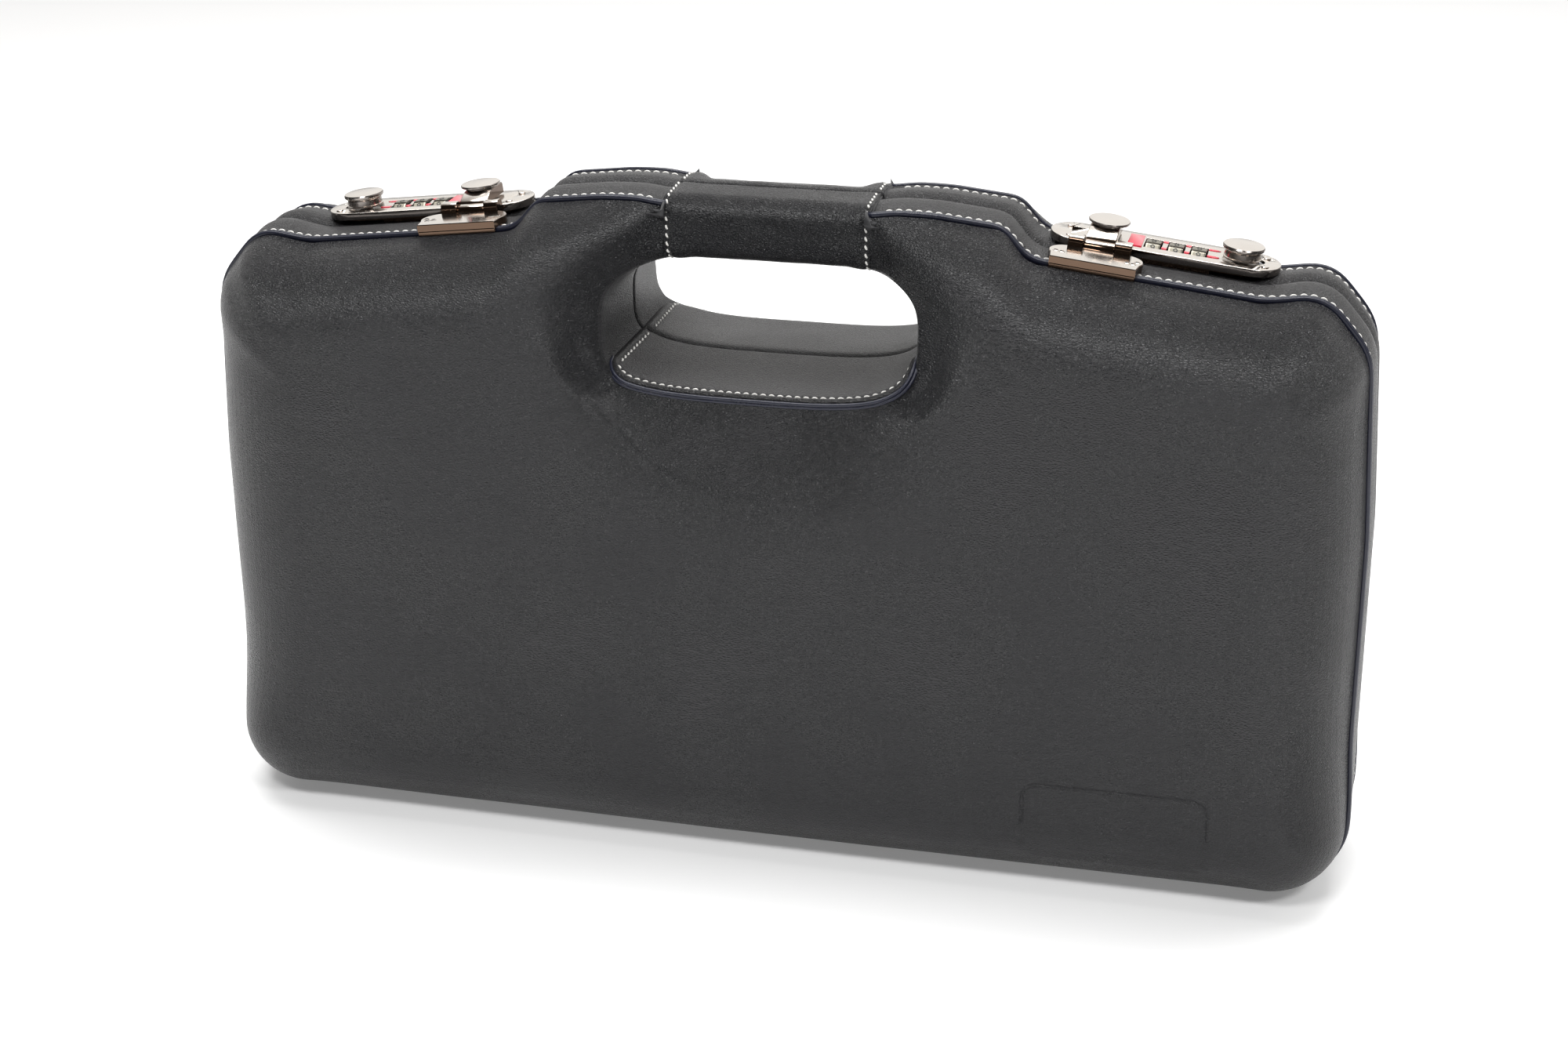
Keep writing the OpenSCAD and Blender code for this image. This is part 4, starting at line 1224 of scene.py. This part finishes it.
def add_latch_piece(name, parts, side, body, replaced, material=None):
    """One object from solids given in the latch's own frame."""
    verts, faces = joined(parts)
    obj = add_object(f"{side}_{name}", at_latch(verts, side), faces, "polished_nickel", body,
                     smooth=False, material=material, closed=True)
    edit_mesh(obj.data, crisp_edges)
    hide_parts(f"{side}_{replaced}")


def make_latch(side, bodies):
    """Knob, hasp with its disc, and the bracket on the front half."""
    add_latch_piece("turned_knob", [lathe(KNOB_PROFILE, KNOB_X, LOCK_Y)], side, bodies[f"{side}_knob"],
                    "knob", "plate_nickel")
    strap = [(15.2, 4.3), (15.2, 7.2), (14.9, 7.7), (14.3, 7.9), (4.0, 7.9), (3.0, 7.8), (-1.4, 5.9),
             (-2.0, 5.4)]
    strap += arc(PIN_Y, PIN_Z, BARREL_R, 66, 330, 30) + [(-0.75, 4.1), (-0.4, 4.3)]
    hook = [(6.9, 1.4), (12.0, 1.4), (12.0, 4.6), (6.9, 4.6)]
    add_latch_piece("hasp_strap", [bar(strap, *HASP_X), bar(hook, 13.9, 20.1, 0.15)], side,
                    bodies[f"{side}_hasp"], "hasp")
    add_latch_piece("hasp_button", [lathe(DISC_PROFILE, DISC_X, LOCK_Y)], side,
                    bodies[f"{side}_hasp_disc"], "hasp_disc", "plate_nickel")
    outline = [(2.5, -20.3), (30.5, -20.3)]
    outline += arc(25.9, -12.4, 6.0, -30, 90, 14) + arc(7.1, -12.4, 6.0, 90, 210, 14)
    plate = prism(outline, [(0.3, 0), (2.75, 0), (3.0, 0.25)], lambda u, v, z: (u, v, z))
    skirt = bar([(-20.3, -0.9), (-20.3, 0.6), (-19.5, 0.6), (-19.5, -0.9)], 2.5, 30.5, 0.2)
    lug = [(-6.45, 1.2)] + arc(-4.4, 4.2, 2.05, 180, 90, 8) + arc(-2.8, 4.4, 1.85, 90, 0, 8)
    lug.append((-0.95, 1.2))
    lugs = [bar(lug, 6.2, HASP_X[0] - 0.15, 0.3), bar(lug, HASP_X[1] + 0.15, 27.0, 0.3)]
    add_latch_piece("bracket", [plate, skirt] + lugs, side, bodies[f"{side}_hasp_bracket"], "hasp_bracket")


def make_bracket_rivets(body):
    """The rivet heads of both brackets, and a black disc in the hollow of each as painted shade for its hole.
    """
    # The hole disc is black as painted shade of the rivet's hollow.
    for name, profile, material in (("heads", RIVET_HEAD, None), ("holes", RIVET_HOLE_SHADE, "digit_black")):
        verts, faces = joined([lathe(profile, x, y, 20) for x, y in BRACKET_HOLES])
        verts, faces = joined([(at_latch(verts, side), faces) for side in ("left", "right")])
        obj = add_object(f"bracket_rivet_{name}", verts, faces, "polished_nickel", body, smooth=False,
                         material=material, closed=True)
        if not material:
            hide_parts("bracket_rivets")


# ---------------------------------------------------------------- number dials

DIAL_R = 6.7
DIAL_W = 5.0
DIGITS = 10


def digit_outlines():
    """Flat meshes of the ten digits: vertices (x, y) in millimetres and faces."""
    made = []
    for digit in range(DIGITS):
        curve = bpy.data.curves.new(f"digit_{digit}", "FONT")
        curve.body = str(digit)
        curve.align_x = "CENTER"
        curve.align_y = "CENTER"
        curve.size = 3.6
        curve.resolution_u = 3
        curve.extrude = 0.05
        made.append(curve_mesh(curve))
    return made


def dial_frame(joint):
    """Middle of a dial and its axes: along the shaft, towards the rear, and up."""
    centre = np.array(joint["pos_m"]) / MM
    axis = np.array(joint["axis"])
    axis = unit(axis if axis[0] > 0 else -axis)
    rear = np.array([0, 1.0, 0])
    return centre, axis, rear, np.cross(axis, rear)


def make_dial(joint, digits):
    """Knurled number wheel with ten lands, and its black digits."""
    name = joint["name"].replace("_turn", "")
    centre, axis, rear, up = dial_frame(joint)
    around, across = 160, [-1, -1, -0.93, -0.72, 0, 0.72, 0.93, 1, 1]
    drop = [DIAL_R - 1.4, 0.45, 0.08, 0, 0, 0, 0.08, 0.45, DIAL_R - 1.4]
    verts = []
    for i in range(around):
        angle = 2 * math.pi * i / around
        land = abs((angle * DIGITS / (2 * math.pi) + 0.5) % 1 - 0.5)
        groove = 0.5 * math.exp(-(((0.5 - land) / 0.07) ** 2))
        flat = DIAL_R * (1 - math.cos(math.pi / DIGITS) / math.cos(2 * math.pi * land / DIGITS))
        way = math.sin(angle) * rear + math.cos(angle) * up
        for a, low in zip(across, drop):
            radius = DIAL_R - low - (groove + flat if low < 1 else 0)
            verts.append(centre + axis * a * DIAL_W / 2 + way * radius)
    faces = grid_faces(around, len(across), closed_rows=True, closed_columns=True)
    wheel = add_object(f"{name}_wheel", verts, faces, "dial_metal", joint["child"], smooth=False,
                       closed=True)
    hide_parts(name)
    placed = []
    for digit, (shape, polygons) in enumerate(digits):
        angle = 2 * math.pi * digit / DIGITS
        way = math.sin(angle) * rear + math.cos(angle) * up
        over = math.cos(angle) * rear - math.sin(angle) * up
        land = centre + way * DIAL_R * math.cos(math.pi / DIGITS)
        placed.append(([land + axis * x + over * y + way * z for x, y, z in shape], polygons))
    verts, faces = joined(placed)
    add_object(f"{name}_digits", verts, faces, "dial_metal", joint["child"], smooth=False,
               material="digit_black")


# ---------------------------------------------------------------- lining

LAND_DEPTH = 0.7
LAND_T = 1.8
ROW_Z = (33.5, 77.5, 121.5)
WELL_X, WELL_R, WELL_DEPTH = (4.0, 170.0), 20.3, 20.2
CARD_X, CARD_Z, CARD_DEPTH = (76.0, 170.0), (151.0, 191.0), 32.2


def flat_panel(loops):
    """Vertices and faces of a soft-edged panel (x, z outlines) that faces the parting plane."""
    curve = bpy.data.curves.new("panel", "CURVE")
    curve.dimensions = "2D"
    curve.fill_mode = "BOTH"
    curve.extrude = (LAND_T / 2 - 0.5) * MM
    curve.bevel_depth = 0.5 * MM
    curve.bevel_resolution = 2
    curve.offset = -0.5 * MM
    for loop in loops:
        spline = curve.splines.new("POLY")
        spline.points.add(len(loop) - 1)
        for point, (x, z) in zip(spline.points, loop):
            point.co = (x * MM, z * MM, 0, 1)
        spline.use_cyclic_u = True
    verts, faces = curve_mesh(curve)
    verts /= MM
    return at_depth(verts, LAND_DEPTH + LAND_T / 2 + verts[:, 2]), faces


def rectangle(x0, x1, z0, z1, radius):
    """Rounded rectangle as a loop of points."""
    left, right, low, high = x0 + radius, x1 - radius, z0 + radius, z1 - radius
    points = []
    for cx, cz, start in ((right, high, 0), (left, high, 90), (left, low, 180), (right, low, 270)):
        points += arc(cx, cz, radius, start, start + 90, 6)
    return points


def open_box(x0, x1, z0, z1, depth):
    """Thin-walled box well with rounded corners, open to the parting plane."""
    wall, mouth = 0.8, LAND_DEPTH + 0.9
    inner = [(mouth, 0), (depth - 1.2, 0), (depth - 0.35, -0.4), (depth, -1.1)]
    outer = [(depth + wall, -1.1), (depth - 0.35, wall - 0.4), (depth - 1.2, wall), (mouth, wall)]
    verts = []
    for level, grow in inner + outer:
        verts += [(x, level, z) for x, z in rectangle(x0 - grow, x1 + grow, z0 - grow, z1 + grow, 3)]
    count = len(verts) // 8
    faces = grid_faces(8, count, closed_rows=True, closed_columns=True)
    floor_quads = slice(3 * count, 4 * count)
    del faces[floor_quads]
    faces += [tuple(range(3 * count, 4 * count)), tuple(range(4 * count, 5 * count))]
    return verts, faces


def make_lining(half, body, *replaced):
    """Flocked land round the wells, with the wells hanging under it."""
    right = half_outline[1:-1:2] + ring_in[1:HALF_N:2] * 3.6
    right = right[right[:, 1] > 9]
    outer = [(x, z) for x, z in right] + [(0, 9)] + [(-x, z) for x, z in right[::-1]]
    hole = [tuple(p) for p in hole_point(np.arange(0, 360, 4.0), 2.4)]
    loops = [outer, hole]
    wells = []
    for side in (-1, 1):
        rows = [(WELL_X, (z - WELL_R, z + WELL_R), WELL_DEPTH) for z in ROW_Z]
        for reach, (z0, z1), depth in rows + [(CARD_X, CARD_Z, CARD_DEPTH)]:
            x0, x1 = sorted(side * x for x in reach)
            loops.append(rectangle(x0 + 0.5, x1 - 0.5, z0 + 0.5, z1 - 0.5, 3))
            wells.append(open_box(x0, x1, z0, z1, depth))
    verts, faces = flat_panel(loops)
    land = add_object(f"{half}_lining_land", on_half(verts, half), faces, "velvet_lining", body,
                      closed=True)
    verts, faces = joined(wells)
    obj = add_object(f"{half}_lining_wells", on_half(np.array(verts), half), faces, "velvet_lining",
                     body, smooth=False, closed=True)
    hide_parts(*replaced)


# ---------------------------------------------------------------- assembly

make_camera()
make_stage()
for half, body in HALVES:
    make_rim_band(half, body)
    make_welt(half, body)
    make_seam_stitches(half, body)
    make_face(half, body)
    make_shell(half, body)
    make_handle_wrap(half, body)
    make_hole_floor(half, body)
make_lining("rear", "rear_half", "chip_tray", "chip_tray_dividers")
make_lining("front", "front_half", "lid_pad", "lid_pad_dividers")
dress_frame()
bodies = {name: obj["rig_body"] for name, obj in frame["nodes"].items()}
for side in ("left", "right"):
    make_latch(side, bodies)
make_bracket_rivets(bodies["bracket_rivets"])
shapes = digit_outlines()
for joint in frame["joints"]:
    if joint.get("continuous"):
        make_dial(joint, shapes)
